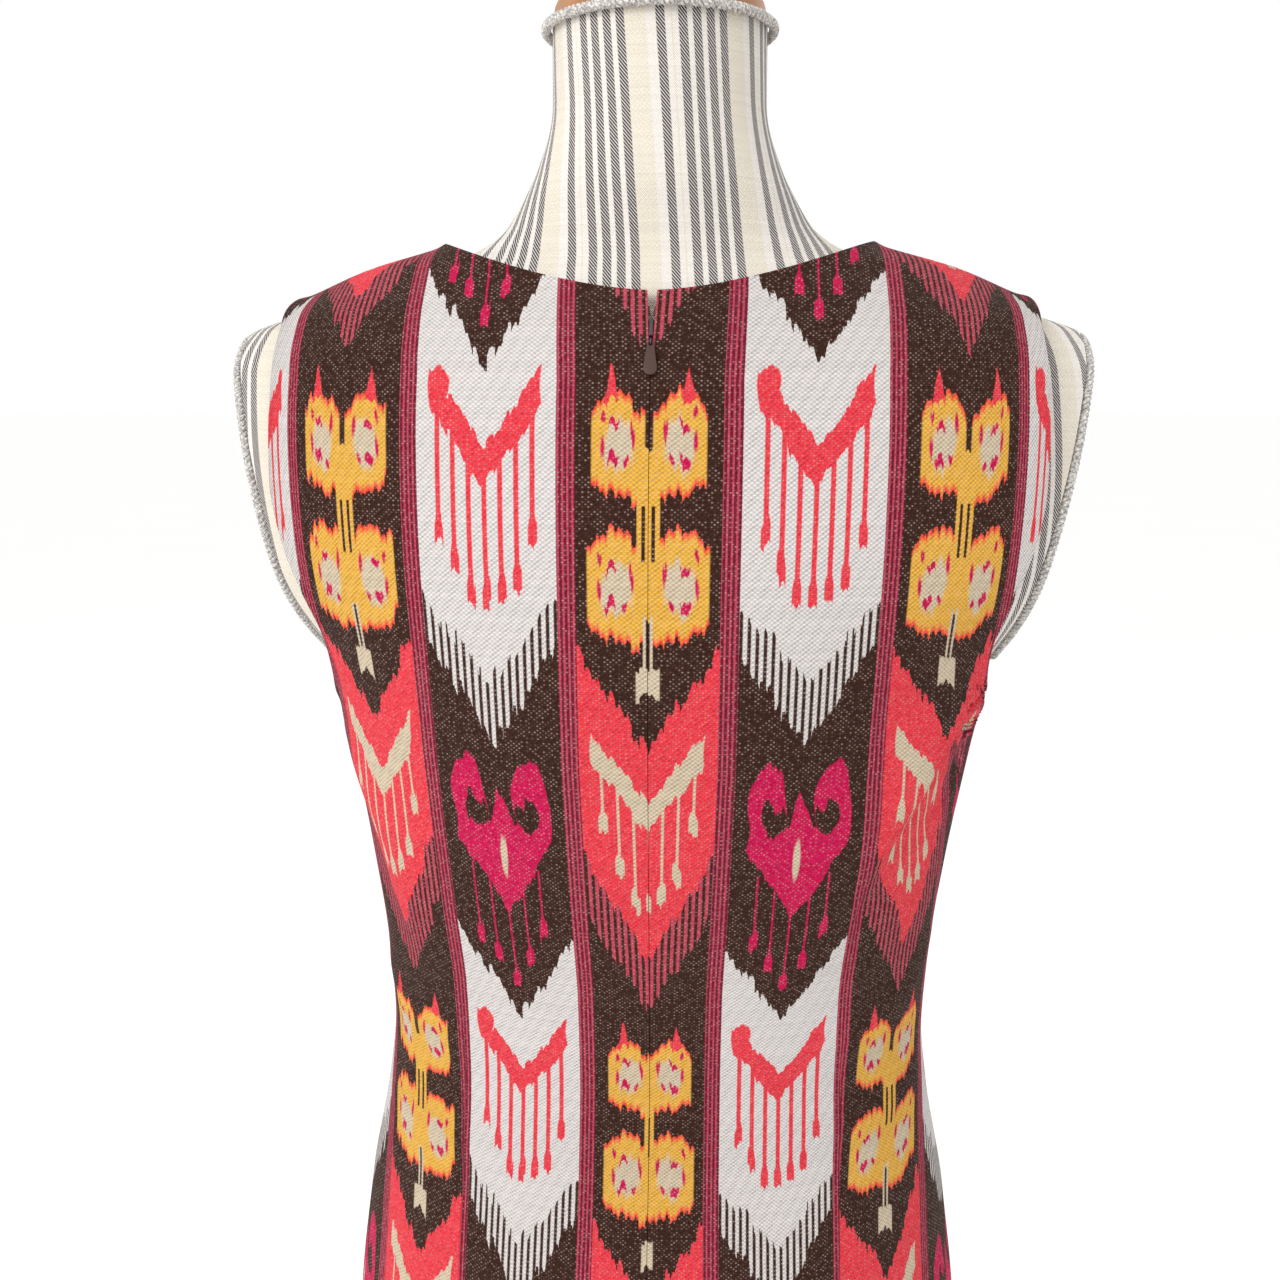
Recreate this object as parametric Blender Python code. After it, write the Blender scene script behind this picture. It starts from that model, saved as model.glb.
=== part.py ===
"""A sleeveless sheath dress on a limbless dress form with a turned wooden stand.

Metres, +Z up. The dress front faces -Y, its back and zip face +Y, and the wearer's left is +X.
The origin is the centre of the base's underside.
"""

import collections
import math

import bmesh
import bpy
import numpy as np
from mathutils import Matrix, Vector

# Heights above the floor.
HEM = 0.440
FORM_BOTTOM = 0.720
UNDERARM = 1.168
SHOULDER_TIP = 1.372
NECK_POINT = 1.397
NECK_FOOT = 1.415
NECK_TOP = 1.496

# Dress.
CLOTH = 0.0018
SEAM_GAP = 0.0003
NECK_HALF_WIDTH = 0.104
SHOULDER_HALF_WIDTH = 0.178
BACK_NECK_DROP = 0.026
FRONT_NECK_DROP = 0.078
BACK_NECK_CURVE = 1.6
FRONT_NECK_CURVE = 2.2
FRONT_NECK_SCOOP = 0.62
COLUMNS = 12
NECK_COLUMNS = 7
SKIRT_ROWS = 18
BODICE_ROWS = 15
CURVE_SAMPLES = 240

# A fold runs past both ends by one share of its length and fades out over the other.
FOLD_OVERRUN = 0.20
FOLD_FADE = 0.25

# Bust: two soft rounds, from the darts.
BUST_HEIGHT = 1.122
BUST_HALF_SPACING = 0.082
BUST_RISE = 0.017
BUST_SPREAD_X = 0.046
BUST_SPREAD_Z = 0.048

# Dress form.
FORM_SIDES = 36
ARM_CUT_HALF_WIDTH = 0.1985
ARM_CUT_HEIGHT = 1.335
ARM_CUT_SLOPE = 0.205
ARM_CUT_BOTTOM = 1.192
CUTTER_ABOVE = 0.08
CUTTER_WIDTH = 0.30
CUTTER_DEPTH = 0.10
PLATE_THICKNESS = 0.004
CORD_RADIUS = 0.0025
CORD_POINTS = 28
ARM_CORD_MARGIN = 0.0008
CAP_SET_BACK = 0.001
CAP_FOOT_HEIGHT = 0.005
CAP_RISE = 0.016
FLANGE_RADIUS = 0.032
FLANGE_HEIGHT = 0.030
FLANGE_PLATE = 0.006
FLANGE_FILLET = 0.003
FLANGE_SOCKET_WALL = 0.005
POLE_RADIUS = 0.0125
BASE_RADIUS = 0.190
BASE_HEIGHT = 0.024
BASE_EDGE_RADIUS = 0.008
BASE_FOOT_CHAMFER = 0.002
HUB_RADIUS = 0.040
HUB_HEIGHT = 0.042
HUB_WAIST_RADIUS = 0.030
HUB_WAIST_HEIGHT = 0.030
HUB_LIP_RADIUS = 0.004
HUB_TOP_RADIUS = 0.026

# Zip.
ZIP_OPEN_FROM = 1.334
ZIP_OPEN_HALF_WIDTH = 0.0020
TAPE_BEHIND = CLOTH + 0.0005
TAPE_HALF_WIDTH = 0.0125
TAPE_THICKNESS = 0.0007
TAPE_BOTTOM = 0.930
TAPE_TOP = 1.366
TAPE_NOTCH_HALF_WIDTH = 0.0036
TAPE_NOTCH_BELOW = 0.0025
SLIDER_SIZE = (0.0052, 0.0022, 0.0110)
SLIDER_BEVEL = 0.0005
SLIDER_HEIGHT = 1.3545
PIVOT_HEIGHT = 1.3485
PIVOT_PROUD = 0.0014
BAIL_WIRE_RADIUS = 0.0004
BAIL_RING_RADIUS = 0.0012
PULL_LENGTH = 0.0156
PULL_THICKNESS = 0.0008
PULL_EYE_RADIUS = 0.0015
PULL_EYE_DROP = 0.0010
PULL_HOLE_RADIUS = 0.0008
PULL_HOLE_DROP = 0.00125
PULL_END_RADIUS = 0.0030

Section = collections.namedtuple("Section", "height half_width front back roundness")
SECTIONS = (
    # Outer face of the cloth from hem to shoulder, then the form's neck.
    Section(HEM, 0.168, 0.121, 0.118, 2.15),
    Section(0.600, 0.175, 0.125, 0.127, 2.15),
    Section(0.780, 0.178, 0.129, 0.133, 2.15),
    Section(0.880, 0.167, 0.123, 0.116, 2.15),
    Section(0.945, 0.1545, 0.113, 0.091, 2.15),
    Section(0.985, 0.1502, 0.108, 0.082, 2.15),
    Section(1.030, 0.1518, 0.110, 0.085, 2.15),
    Section(1.080, 0.1565, 0.117, 0.094, 2.15),
    Section(1.125, 0.1625, 0.123, 0.102, 2.15),
    Section(UNDERARM, 0.1700, 0.123, 0.107, 2.12),
    Section(1.200, 0.1800, 0.118, 0.109, 2.10),
    Section(1.255, 0.2280, 0.109, 0.108, 2.10),
    Section(1.305, 0.2440, 0.098, 0.101, 2.08),
    Section(1.340, 0.2380, 0.088, 0.090, 2.05),
    Section(1.360, 0.2130, 0.077, 0.080, 2.00),
    Section(SHOULDER_TIP, SHOULDER_HALF_WIDTH, 0.068, 0.072, 2.00),
    Section(1.385, 0.146, 0.060, 0.064, 2.00),
    Section(NECK_POINT, NECK_HALF_WIDTH, 0.054, 0.058, 2.00),
    Section(1.410, 0.078, 0.052, 0.054, 2.00),
    Section(1.430, 0.060, 0.050, 0.051, 2.00),
    Section(1.460, 0.0515, 0.048, 0.048, 2.00),
    Section(NECK_TOP, 0.0510, 0.048, 0.048, 2.00),
)

Inset = collections.namedtuple("Inset", "height depth")
INSETS = (
    # How far the form lies inside the table above: the cloth rests on its shoulders.
    Inset(HEM, 0.0052),
    Inset(1.150, 0.0052),
    Inset(1.195, 0.0088),
    Inset(1.245, 0.0052),
    Inset(1.362, 0.0052),
    Inset(1.373, 0.0027),
    Inset(1.378, 0.0031),
    Inset(1.389, 0.0064),
    Inset(1.430, 0.0),
    Inset(NECK_TOP, 0.0),
)

ArmholePoint = collections.namedtuple("ArmholePoint", "height back front")
ARMHOLE = (
    # Half-widths of the armhole's back and front edges at each height.
    ArmholePoint(UNDERARM, 0.1700, 0.1700),
    ArmholePoint(1.176, 0.1655, 0.1640),
    ArmholePoint(1.190, 0.1625, 0.1565),
    ArmholePoint(1.210, 0.1620, 0.1505),
    ArmholePoint(1.235, 0.1670, 0.1480),
    ArmholePoint(1.260, 0.1735, 0.1490),
    ArmholePoint(1.285, 0.1770, 0.1520),
    ArmholePoint(1.330, 0.1765, 0.1600),
    ArmholePoint(1.355, 0.1755, 0.1680),
    ArmholePoint(SHOULDER_TIP, SHOULDER_HALF_WIDTH, SHOULDER_HALF_WIDTH),
)

RingRun = collections.namedtuple("RingRun", "top rings")
FORM_RINGS = (
    # Rings of the form above FORM_BOTTOM, closer together over the shoulders.
    RingRun(UNDERARM, 11),
    RingRun(ARM_CUT_HEIGHT, 6),
    RingRun(NECK_FOOT, 12),
    RingRun(NECK_TOP, 5),
)

Fold = collections.namedtuple("Fold", "panel x0 z0 x1 z1 width rise")
FOLDS = (
    # Ridges and troughs of the cloth, each from (x0, z0) to (x1, z1).
    Fold("back_right", -0.158, 1.172, -0.104, 1.078, 0.013, 0.0065),
    Fold("back_right", -0.170, 1.150, -0.122, 1.070, 0.010, -0.0015),
    Fold("back_right", -0.118, 1.120, -0.096, 1.030, 0.014, 0.0030),
    Fold("back_left", 0.152, 1.120, 0.118, 1.030, 0.015, 0.0028),
    Fold("front", 0.150, 1.150, 0.090, 1.060, 0.014, 0.0025),
    Fold("front", -0.148, 1.145, -0.100, 1.040, 0.014, 0.0030),
)

SHOWN = "Sheath dress on dress form"
HELPERS = "Cutters"


def clear_scene():
    for obj in list(bpy.data.objects):
        bpy.data.objects.remove(obj, do_unlink=True)
    for name in (SHOWN, HELPERS):
        bpy.context.scene.collection.children.link(bpy.data.collections.new(name))


def principled(name, colour, roughness, metallic=0.0):
    material = bpy.data.materials.new(name)
    material.use_nodes = True
    shader = material.node_tree.nodes["Principled BSDF"]
    shader.inputs["Base Color"].default_value = (*colour, 1.0)
    shader.inputs["Roughness"].default_value = roughness
    shader.inputs["Metallic"].default_value = metallic
    material.diffuse_color = (*colour, 1.0)
    return material


def add_object(name, mesh, material, helper=False):
    mesh.materials.clear()
    mesh.materials.append(material)
    obj = bpy.data.objects.new(name, mesh)
    bpy.data.collections[HELPERS if helper else SHOWN].objects.link(obj)
    if helper:
        obj.hide_render = True
        obj.display_type = "WIRE"
    return obj


def mesh_from(bm, name, sharp_angle=35.0):
    bmesh.ops.recalc_face_normals(bm, faces=bm.faces)
    if bm.calc_volume(signed=True) < 0:
        bmesh.ops.reverse_faces(bm, faces=bm.faces)
    mesh = bpy.data.meshes.new(name)
    bm.to_mesh(mesh)
    bm.free()
    mesh.shade_smooth()
    mesh.set_sharp_from_angle(angle=math.radians(sharp_angle))
    return mesh


def smooth_lookup(heights, values, height):
    """A smooth curve through the table's rows, flat where the values turn round."""
    heights = np.asarray(heights)
    values = np.asarray(values)
    steps = np.diff(heights)
    slopes = np.diff(values) / steps
    tangents = np.empty(len(values))
    tangents[0] = slopes[0]
    tangents[-1] = slopes[-1]
    same_way = slopes[:-1] * slopes[1:] > 0
    pair = np.where(same_way, slopes[:-1] + slopes[1:], 1.0)
    tangents[1:-1] = np.where(same_way, 2 * slopes[:-1] * slopes[1:] / pair, 0.0)
    height = np.clip(height, heights[0], heights[-1])
    row = np.clip(np.searchsorted(heights, height, side="right") - 1, 0, len(steps) - 1)
    step = steps[row]
    t = (height - heights[row]) / step
    start = values[row] * (1 + 2 * t) * (1 - t) ** 2 + tangents[row] * step * t * (1 - t) ** 2
    end = values[row + 1] * t * t * (3 - 2 * t) + tangents[row + 1] * step * t * t * (t - 1)
    return start + end


def section_value(column, height):
    heights = [row.height for row in SECTIONS]
    return smooth_lookup(heights, [getattr(row, column) for row in SECTIONS], height)


def armhole_half_width(side, height):
    heights = [row.height for row in ARMHOLE]
    return smooth_lookup(heights, [getattr(row, side) for row in ARMHOLE], height)


def bust_rise(x, height):
    across = (np.abs(x) - BUST_HALF_SPACING) / BUST_SPREAD_X
    upward = (height - BUST_HEIGHT) / BUST_SPREAD_Z
    return BUST_RISE * np.exp(-0.5 * (across**2 + upward**2))


def depth_at(side, x, height):
    """How far the cloth's outer face lies in front of or behind the side seams' plane."""
    roundness = section_value("roundness", height)
    ratio = np.clip(np.abs(x) / section_value("half_width", height), 0.0, 1.0)
    fullness = (1.0 - ratio**roundness) ** (1.0 / roundness)
    depth = section_value(side, height) * fullness
    if side == "front":
        depth = depth + bust_rise(x, height) * fullness
    return depth


def outward_at(side, x, depth, height):
    """The cloth's outward direction, from the slope of the section's own equation."""

    def level(x_at, depth_at_point, height_at):
        roundness = section_value("roundness", height_at)
        half_width = section_value("half_width", height_at)
        section_depth = section_value(side, height_at)
        if side == "front":
            section_depth = section_depth + bust_rise(x_at, height_at)
        across = (np.abs(x_at) / half_width) ** roundness
        return across + (np.abs(depth_at_point) / section_depth) ** roundness

    step = 1e-5
    slope = np.stack(
        [
            level(x + step, depth, height) - level(x - step, depth, height),
            level(x, depth + step, height) - level(x, depth - step, height),
            level(x, depth, height + step) - level(x, depth, height - step),
        ],
        axis=-1,
    )
    slope[..., 1] = np.where(depth < 2 * step, 0.0, slope[..., 1])
    return slope / np.linalg.norm(slope, axis=-1, keepdims=True)


def side_arc(side, height, fractions):
    """Half-widths at equal parts of the way round from the centre to the side seam."""
    turn = np.linspace(0.0, math.pi / 2, CURVE_SAMPLES)
    half_width = section_value("half_width", height)
    roundness = section_value("roundness", height)
    x = half_width * np.sin(turn) ** (2.0 / roundness)
    depth = depth_at(side, x, height)
    travelled = np.concatenate([[0.0], np.cumsum(np.hypot(np.diff(x), np.diff(depth)))])
    return np.interp(fractions, travelled / travelled[-1], x)


def neckline_height(side, x):
    part = np.clip(x / NECK_HALF_WIDTH, 0.0, 1.0)
    if side == "back":
        return NECK_POINT - BACK_NECK_DROP * (1.0 - part**BACK_NECK_CURVE)
    return NECK_POINT - FRONT_NECK_DROP * (1.0 - part**FRONT_NECK_CURVE) ** FRONT_NECK_SCOOP


def shoulder_seam_height(x):
    heights = np.linspace(SHOULDER_TIP, NECK_POINT, CURVE_SAMPLES)
    widths = section_value("half_width", heights)
    return np.interp(x, widths[::-1], heights[::-1])


def top_edge(side, column):
    """(x, height) where this column of the cloth ends: on the neckline or on the shoulder seam."""
    if column <= NECK_COLUMNS:
        line_x = NECK_HALF_WIDTH * np.sin(np.linspace(0.0, math.pi / 2, CURVE_SAMPLES))
        line_height = neckline_height(side, line_x)
        line_depth = depth_at(side, line_x, line_height)
        line_depth[-1] = 0.0
        step = np.sqrt(np.diff(line_x) ** 2 + np.diff(line_height) ** 2 + np.diff(line_depth) ** 2)
        travelled = np.concatenate([[0.0], np.cumsum(step)])
        x = float(np.interp(column / NECK_COLUMNS, travelled / travelled[-1], line_x))
        return x, float(neckline_height(side, x))
    part = (column - NECK_COLUMNS) / (COLUMNS - NECK_COLUMNS)
    x = NECK_HALF_WIDTH + (SHOULDER_HALF_WIDTH - NECK_HALF_WIDTH) * part
    return x, float(shoulder_seam_height(x))


def bodice_column(side, column, underarm_x):
    """(x, height) down one column from the top edge to the underarm line, evenly along the cloth."""
    part = column / COLUMNS
    top_x, top_height = top_edge(side, column)
    t = np.linspace(0.0, 1.0, CURVE_SAMPLES) ** 1.5
    height = UNDERARM + (top_height - UNDERARM) * t
    arm_x = armhole_half_width(side, UNDERARM + (SHOULDER_TIP - UNDERARM) * t)
    straight = (1 - t) * section_value("half_width", UNDERARM) + t * SHOULDER_HALF_WIDTH
    x = (1 - t) * underarm_x + t * top_x + part * (arm_x - straight)
    depth = depth_at(side, x, height)
    depth[-1] = depth[-1] if column < NECK_COLUMNS else 0.0
    step = np.sqrt(np.diff(x) ** 2 + np.diff(depth) ** 2 + np.diff(height) ** 2)
    travelled = np.concatenate([[0.0], np.cumsum(step)])
    # The rows close up at both ends, where the armhole and the shoulder curve most.
    even = np.linspace(0.0, 1.0, BODICE_ROWS + 1)
    wanted = even - 0.5 * np.sin(2 * math.pi * even) / (2 * math.pi)
    return np.interp(wanted, travelled / travelled[-1], x), np.interp(
        wanted, travelled / travelled[-1], height
    )


def half_sheet(side):
    """x, depth and height of the outer face of half a front or back, as [row][column] arrays."""
    parts = np.arange(COLUMNS + 1) / COLUMNS
    skirt_heights = HEM + (UNDERARM - HEM) * np.arange(SKIRT_ROWS + 1) / SKIRT_ROWS
    x = np.array([side_arc(side, height, parts) for height in skirt_heights])
    height = np.repeat(skirt_heights[:, None], COLUMNS + 1, axis=1)
    columns = [bodice_column(side, column, x[-1, column]) for column in range(COLUMNS + 1)]
    upper_x = np.array([pair[0] for pair in columns]).T[1:]
    upper_height = np.array([pair[1] for pair in columns]).T[1:]
    x = np.concatenate([x, upper_x])
    height = np.concatenate([height, upper_height])
    depth = depth_at(side, x, height)
    depth[: SKIRT_ROWS + 1, -1] = 0.0
    depth[-1, NECK_COLUMNS:] = 0.0
    return x, depth, height


def zip_half_gap(height):
    """Half the gap between the centre-back edges: a seam below, a small V at the top."""
    opened = np.clip((height - ZIP_OPEN_FROM) / (NECK_POINT - BACK_NECK_DROP - ZIP_OPEN_FROM), 0, 1)
    return SEAM_GAP / 2 + ZIP_OPEN_HALF_WIDTH * opened


def fold_rise(panel, x, height):
    """How far the folds of this panel lift its cloth."""
    total = np.zeros_like(x)
    for fold in FOLDS:
        if fold.panel != panel:
            continue
        along = np.array([fold.x1 - fold.x0, fold.z1 - fold.z0])
        length = np.linalg.norm(along)
        along = along / length
        run = ((x - fold.x0) * along[0] + (height - fold.z0) * along[1]) / length
        aside = (x - fold.x0) * along[1] - (height - fold.z0) * along[0]
        from_end = np.minimum(run, 1.0 - run) + FOLD_OVERRUN
        fade = np.clip(from_end / FOLD_FADE, 0.0, 1.0)
        total += fold.rise * fade * fade * (3 - 2 * fade) * np.exp(-((aside / fold.width) ** 2))
    return total


def sheet_points(side, panel, hand):
    """Outer points and outward directions of half a panel; hand is +1 for the wearer's left."""
    x, depth, height = half_sheet(side)
    outward = outward_at(side, x, depth, height)
    if side == "back":
        part = np.arange(COLUMNS + 1) / COLUMNS
        x = x + zip_half_gap(height) * (1.0 - part)
    facing = 1.0 if side == "back" else -1.0
    points = np.stack([hand * x, facing * (depth + SEAM_GAP / 2), height], axis=-1)
    outward = outward * np.array([hand, facing, 1.0])
    points = points + outward * fold_rise(panel, hand * x, height)[..., None]
    return points, outward


def wall_mesh(name, points, outward, thickness, cut=None):
    """A closed wall: a grid laid on the points, with a second one behind it and a rim between."""
    rows, columns = points.shape[:2]
    bm = bmesh.new()
    bmesh.ops.create_grid(bm, x_segments=columns - 1, y_segments=rows - 1, size=0.5)
    inner = {}
    for vert in bm.verts:
        row = round((vert.co.y + 0.5) * (rows - 1))
        column = round((vert.co.x + 0.5) * (columns - 1))
        vert.co = points[row, column]
        inner[vert] = Vector(points[row, column] - thickness * outward[row, column])
    if cut:
        doomed = [face for face in bm.faces if cut(face.calc_center_median())]
        bmesh.ops.delete(bm, geom=doomed, context="FACES")
    outer_faces = list(bm.faces)
    rim = [edge for edge in bm.edges if edge.is_boundary]
    copied = bmesh.ops.duplicate(bm, geom=list(bm.verts) + list(bm.edges) + outer_faces)
    twin = copied["vert_map"]
    copied_faces = [item for item in copied["geom"] if isinstance(item, bmesh.types.BMFace)]
    bmesh.ops.reverse_faces(bm, faces=copied_faces)
    for vert in {vert for face in outer_faces for vert in face.verts}:
        twin[vert].co = inner[vert]
    for edge in rim:
        first, second = edge.verts
        bm.faces.new((first, second, twin[second], twin[first]))
    return mesh_from(bm, name)


def make_back(name, hand, material):
    points, outward = sheet_points("back", name, hand)
    return add_object(name, wall_mesh(name, points, outward, CLOTH), material)


def make_front(material):
    left_points, left_outward = sheet_points("front", "front", 1.0)
    right_points, right_outward = sheet_points("front", "front", -1.0)
    points = np.concatenate([right_points[:, :0:-1], left_points], axis=1)
    outward = np.concatenate([right_outward[:, :0:-1], left_outward], axis=1)
    return add_object("front", wall_mesh("front", points, outward, CLOTH), material)


def make_zip_tape(material):
    """A strip that follows the backs' own rows behind their seam, notched for the slider."""
    columns = (-TAPE_HALF_WIDTH, -TAPE_NOTCH_HALF_WIDTH, TAPE_NOTCH_HALF_WIDTH, TAPE_HALF_WIDTH)
    notch_from = SLIDER_HEIGHT - SLIDER_SIZE[2] / 2 - TAPE_NOTCH_BELOW
    back_x, back_depth, back_height = half_sheet("back")
    rows = [TAPE_BOTTOM, notch_from, TAPE_TOP]
    rows += [level for level in back_height[:, 0] if TAPE_BOTTOM < level < TAPE_TOP]
    x, height = np.meshgrid(columns, sorted(rows))
    near, far = (
        [np.interp(height, back_height[:, column], table[:, column]) for table in (back_x, back_depth)]
        for column in (0, 1)
    )
    depth = near[1] + (far[1] - near[1]) * np.abs(x) / far[0]
    outward = outward_at("back", np.abs(x), depth_at("back", x, height), height)
    outward[..., 0] *= np.sign(x)
    points = np.stack([x, depth + SEAM_GAP / 2, height], axis=-1) - TAPE_BEHIND * outward

    def in_notch(centre):
        return abs(centre.x) < TAPE_NOTCH_HALF_WIDTH / 2 and centre.z > notch_from

    mesh = wall_mesh("zip_tape", points, outward, TAPE_THICKNESS, in_notch)
    return add_object("zip_tape", mesh, material)


def seam_frame(height):
    """Matrix at the centre-back seam: X across, Y out of the cloth, Z up along it."""
    x = np.array([0.0])
    level = np.array([height])
    depth = depth_at("back", x, level)
    out = Vector(outward_at("back", x, depth, level)[0])
    across = Vector((1.0, 0.0, 0.0))
    upward = across.cross(out)
    place = Vector((0.0, float(depth[0]) + SEAM_GAP / 2, height))
    turn = Matrix((across, out, upward)).transposed()
    return Matrix.Translation(place) @ turn.to_4x4()


def curve_mesh(name, splines, matrix, cyclic=False, **settings):
    """A curve object with filled caps, turned into a mesh with its caps welded on."""
    curve = bpy.data.curves.new(name, "CURVE")
    for key, value in settings.items():
        setattr(curve, key, value)
    for points in splines:
        spline = curve.splines.new("POLY")
        spline.points.add(len(points) - 1)
        for target, point in zip(spline.points, points):
            target.co = (*point, 1.0)
        spline.use_cyclic_u = cyclic
    holder = bpy.data.objects.new(name, curve)
    bpy.context.scene.collection.objects.link(holder)
    graph = bpy.context.evaluated_depsgraph_get()
    mesh = bpy.data.meshes.new_from_object(holder.evaluated_get(graph))
    bpy.data.objects.remove(holder, do_unlink=True)
    bm = bmesh.new()
    bm.from_mesh(mesh)
    bmesh.ops.remove_doubles(bm, verts=bm.verts, dist=1e-6)
    bm.transform(matrix)
    bpy.data.meshes.remove(mesh)
    return mesh_from(bm, name)


def arc_points(centre, radius, start, end, count):
    """Points of an arc in the XY plane, angles in degrees."""
    angles = np.radians(np.linspace(start, end, count))
    return [
        (centre[0] + radius * math.cos(angle), centre[1] + radius * math.sin(angle), 0.0)
        for angle in angles
    ]


def make_zip_slider(material):
    """The slider's body lies behind the cloth, and its bail arches out through the V."""
    frame = seam_frame(SLIDER_HEIGHT)
    body_depth = TAPE_BEHIND + SLIDER_SIZE[1] / 2
    bm = bmesh.new()
    bmesh.ops.create_cube(bm, size=1.0)
    bmesh.ops.scale(bm, vec=SLIDER_SIZE, verts=bm.verts)
    bmesh.ops.bevel(bm, geom=bm.edges[:], offset=SLIDER_BEVEL, segments=2, affect="EDGES", profile=0.5)
    bm.transform(frame @ Matrix.Translation((0.0, -body_depth, 0.0)))
    slider = add_object("zip_slider", mesh_from(bm, "zip_slider"), material)

    ring = arc_points((PIVOT_PROUD, 0.0), BAIL_RING_RADIUS, -90.0, 90.0, 9)
    root = -body_depth
    path = [(root, -BAIL_RING_RADIUS, 0.0)] + ring + [(root, BAIL_RING_RADIUS, 0.0)]
    # The path's X runs out of the cloth and its Y up along it.
    upright = Matrix(((0, 0, 1, 0), (1, 0, 0, 0), (0, 1, 0, 0), (0, 0, 0, 1)))
    bail_mesh = curve_mesh(
        "bail",
        [path],
        seam_frame(PIVOT_HEIGHT) @ upright,
        dimensions="3D",
        bevel_depth=BAIL_WIRE_RADIUS,
        bevel_resolution=2,
        use_fill_caps=True,
    )
    bail = add_object("bail", bail_mesh, material, helper=True)
    union = slider.modifiers.new("Bail", "BOOLEAN")
    union.operation = "UNION"
    union.object = bail
    return slider


def make_zip_pull(material):
    """A teardrop tab whose eye hooks on the bail; its origin is on the hinge axis."""
    end_centre = -PULL_LENGTH + PULL_END_RADIUS
    apart = -PULL_EYE_DROP - end_centre
    spread = math.degrees(math.asin((PULL_END_RADIUS - PULL_EYE_RADIUS) / apart))
    outline = arc_points((0.0, -PULL_EYE_DROP), PULL_EYE_RADIUS, spread, 180.0 - spread, 13)
    outline += arc_points((0.0, end_centre), PULL_END_RADIUS, 180.0 - spread, 360.0 + spread, 21)
    hole = arc_points((0.0, -PULL_HOLE_DROP), PULL_HOLE_RADIUS, 0.0, 360.0, 13)[:-1]
    mesh = curve_mesh(
        "zip_pull",
        [outline, hole],
        Matrix.Rotation(math.pi / 2, 4, "X"),
        cyclic=True,
        dimensions="2D",
        fill_mode="BOTH",
        extrude=PULL_THICKNESS / 2,
    )
    pull = add_object("zip_pull", mesh, material)
    pull.matrix_world = seam_frame(PIVOT_HEIGHT) @ Matrix.Translation((0.0, PIVOT_PROUD, 0.0))
    return pull


def form_inset(height):
    heights = [row.height for row in INSETS]
    return float(smooth_lookup(heights, [row.depth for row in INSETS], height))


def form_point(turn, height):
    """A point of the form's surface at this angle round it, measured from the wearer's left."""
    inset = form_inset(height)
    level = min(height + inset, NECK_TOP)
    side = "back" if math.sin(turn) >= 0 else "front"
    half_width = float(section_value("half_width", level)) - inset
    roundness = float(section_value("roundness", level))
    across = abs(math.cos(turn)) ** (2.0 / roundness)
    outer_x = math.copysign(across * (half_width + inset), math.cos(turn))
    depth = float(section_value(side, level)) - inset
    depth *= abs(math.sin(turn)) ** (2.0 / roundness)
    if side == "front":
        depth += float(bust_rise(outer_x, level)) * abs(math.sin(turn)) ** (2.0 / roundness)
    return Vector(
        (
            math.copysign(across * half_width, math.cos(turn)),
            math.copysign(depth, math.sin(turn)),
            height,
        )
    )


def form_heights():
    heights = [FORM_BOTTOM]
    for run in FORM_RINGS:
        foot = heights[-1]
        heights += [foot + (run.top - foot) * ring / run.rings for ring in range(1, run.rings + 1)]
    return heights


def make_form_torso(material):
    """Rings skinned into one body, with the arms cut off flat at each side."""
    heights = form_heights()
    rows = len(heights) - 1
    bm = bmesh.new()
    bmesh.ops.create_grid(bm, x_segments=FORM_SIDES, y_segments=rows, size=0.5)
    for vert in bm.verts:
        turn = 2 * math.pi * round((vert.co.x + 0.5) * FORM_SIDES) / FORM_SIDES
        vert.co = form_point(turn, float(heights[round((vert.co.y + 0.5) * rows)]))
    bmesh.ops.remove_doubles(bm, verts=bm.verts, dist=1e-6)
    bmesh.ops.holes_fill(bm, edges=[edge for edge in bm.edges if edge.is_boundary])
    torso = add_object("form_torso", mesh_from(bm, "form_torso"), material)
    for name, hand in (("left", 1.0), ("right", -1.0)):
        cutter = add_object(f"arm_cutter_{name}", arm_cutter_mesh(hand), material, helper=True)
        cut = torso.modifiers.new(f"Arm cut {name}", "BOOLEAN")
        cut.operation = "DIFFERENCE"
        cut.object = cutter
    return torso


def arm_cut_half_width(height):
    """Half-width of the flat arm end at this height: it leans in towards its foot."""
    return ARM_CUT_HALF_WIDTH + ARM_CUT_SLOPE * (height - ARM_CUT_HEIGHT)


def arm_frame(hand):
    """Matrix of the flat arm end: X front to back, Y up along it, Z out of it."""
    upward = Vector((hand * ARM_CUT_SLOPE, 0.0, 1.0)).normalized()
    out = Vector((hand, 0.0, -ARM_CUT_SLOPE)).normalized()
    backward = upward.cross(out)
    place = Vector((hand * ARM_CUT_HALF_WIDTH, 0.0, ARM_CUT_HEIGHT))
    return Matrix.Translation(place) @ Matrix((backward, upward, out)).transposed().to_4x4()


def arm_cutter_mesh(hand):
    """A block that takes the arm off flat, down to where the cut runs out at the underarm."""
    along = math.hypot(1.0, ARM_CUT_SLOPE)
    low = (ARM_CUT_BOTTOM - ARM_CUT_HEIGHT) * along
    middle = (CUTTER_ABOVE + low) / 2
    bm = bmesh.new()
    bmesh.ops.create_cube(bm, size=1.0)
    bmesh.ops.scale(bm, vec=(CUTTER_WIDTH, CUTTER_ABOVE - low, CUTTER_DEPTH), verts=bm.verts)
    bmesh.ops.translate(bm, vec=(0.0, middle, CUTTER_DEPTH / 2), verts=bm.verts)
    bm.transform(arm_frame(hand))
    return mesh_from(bm, "arm_cutter")


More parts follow.
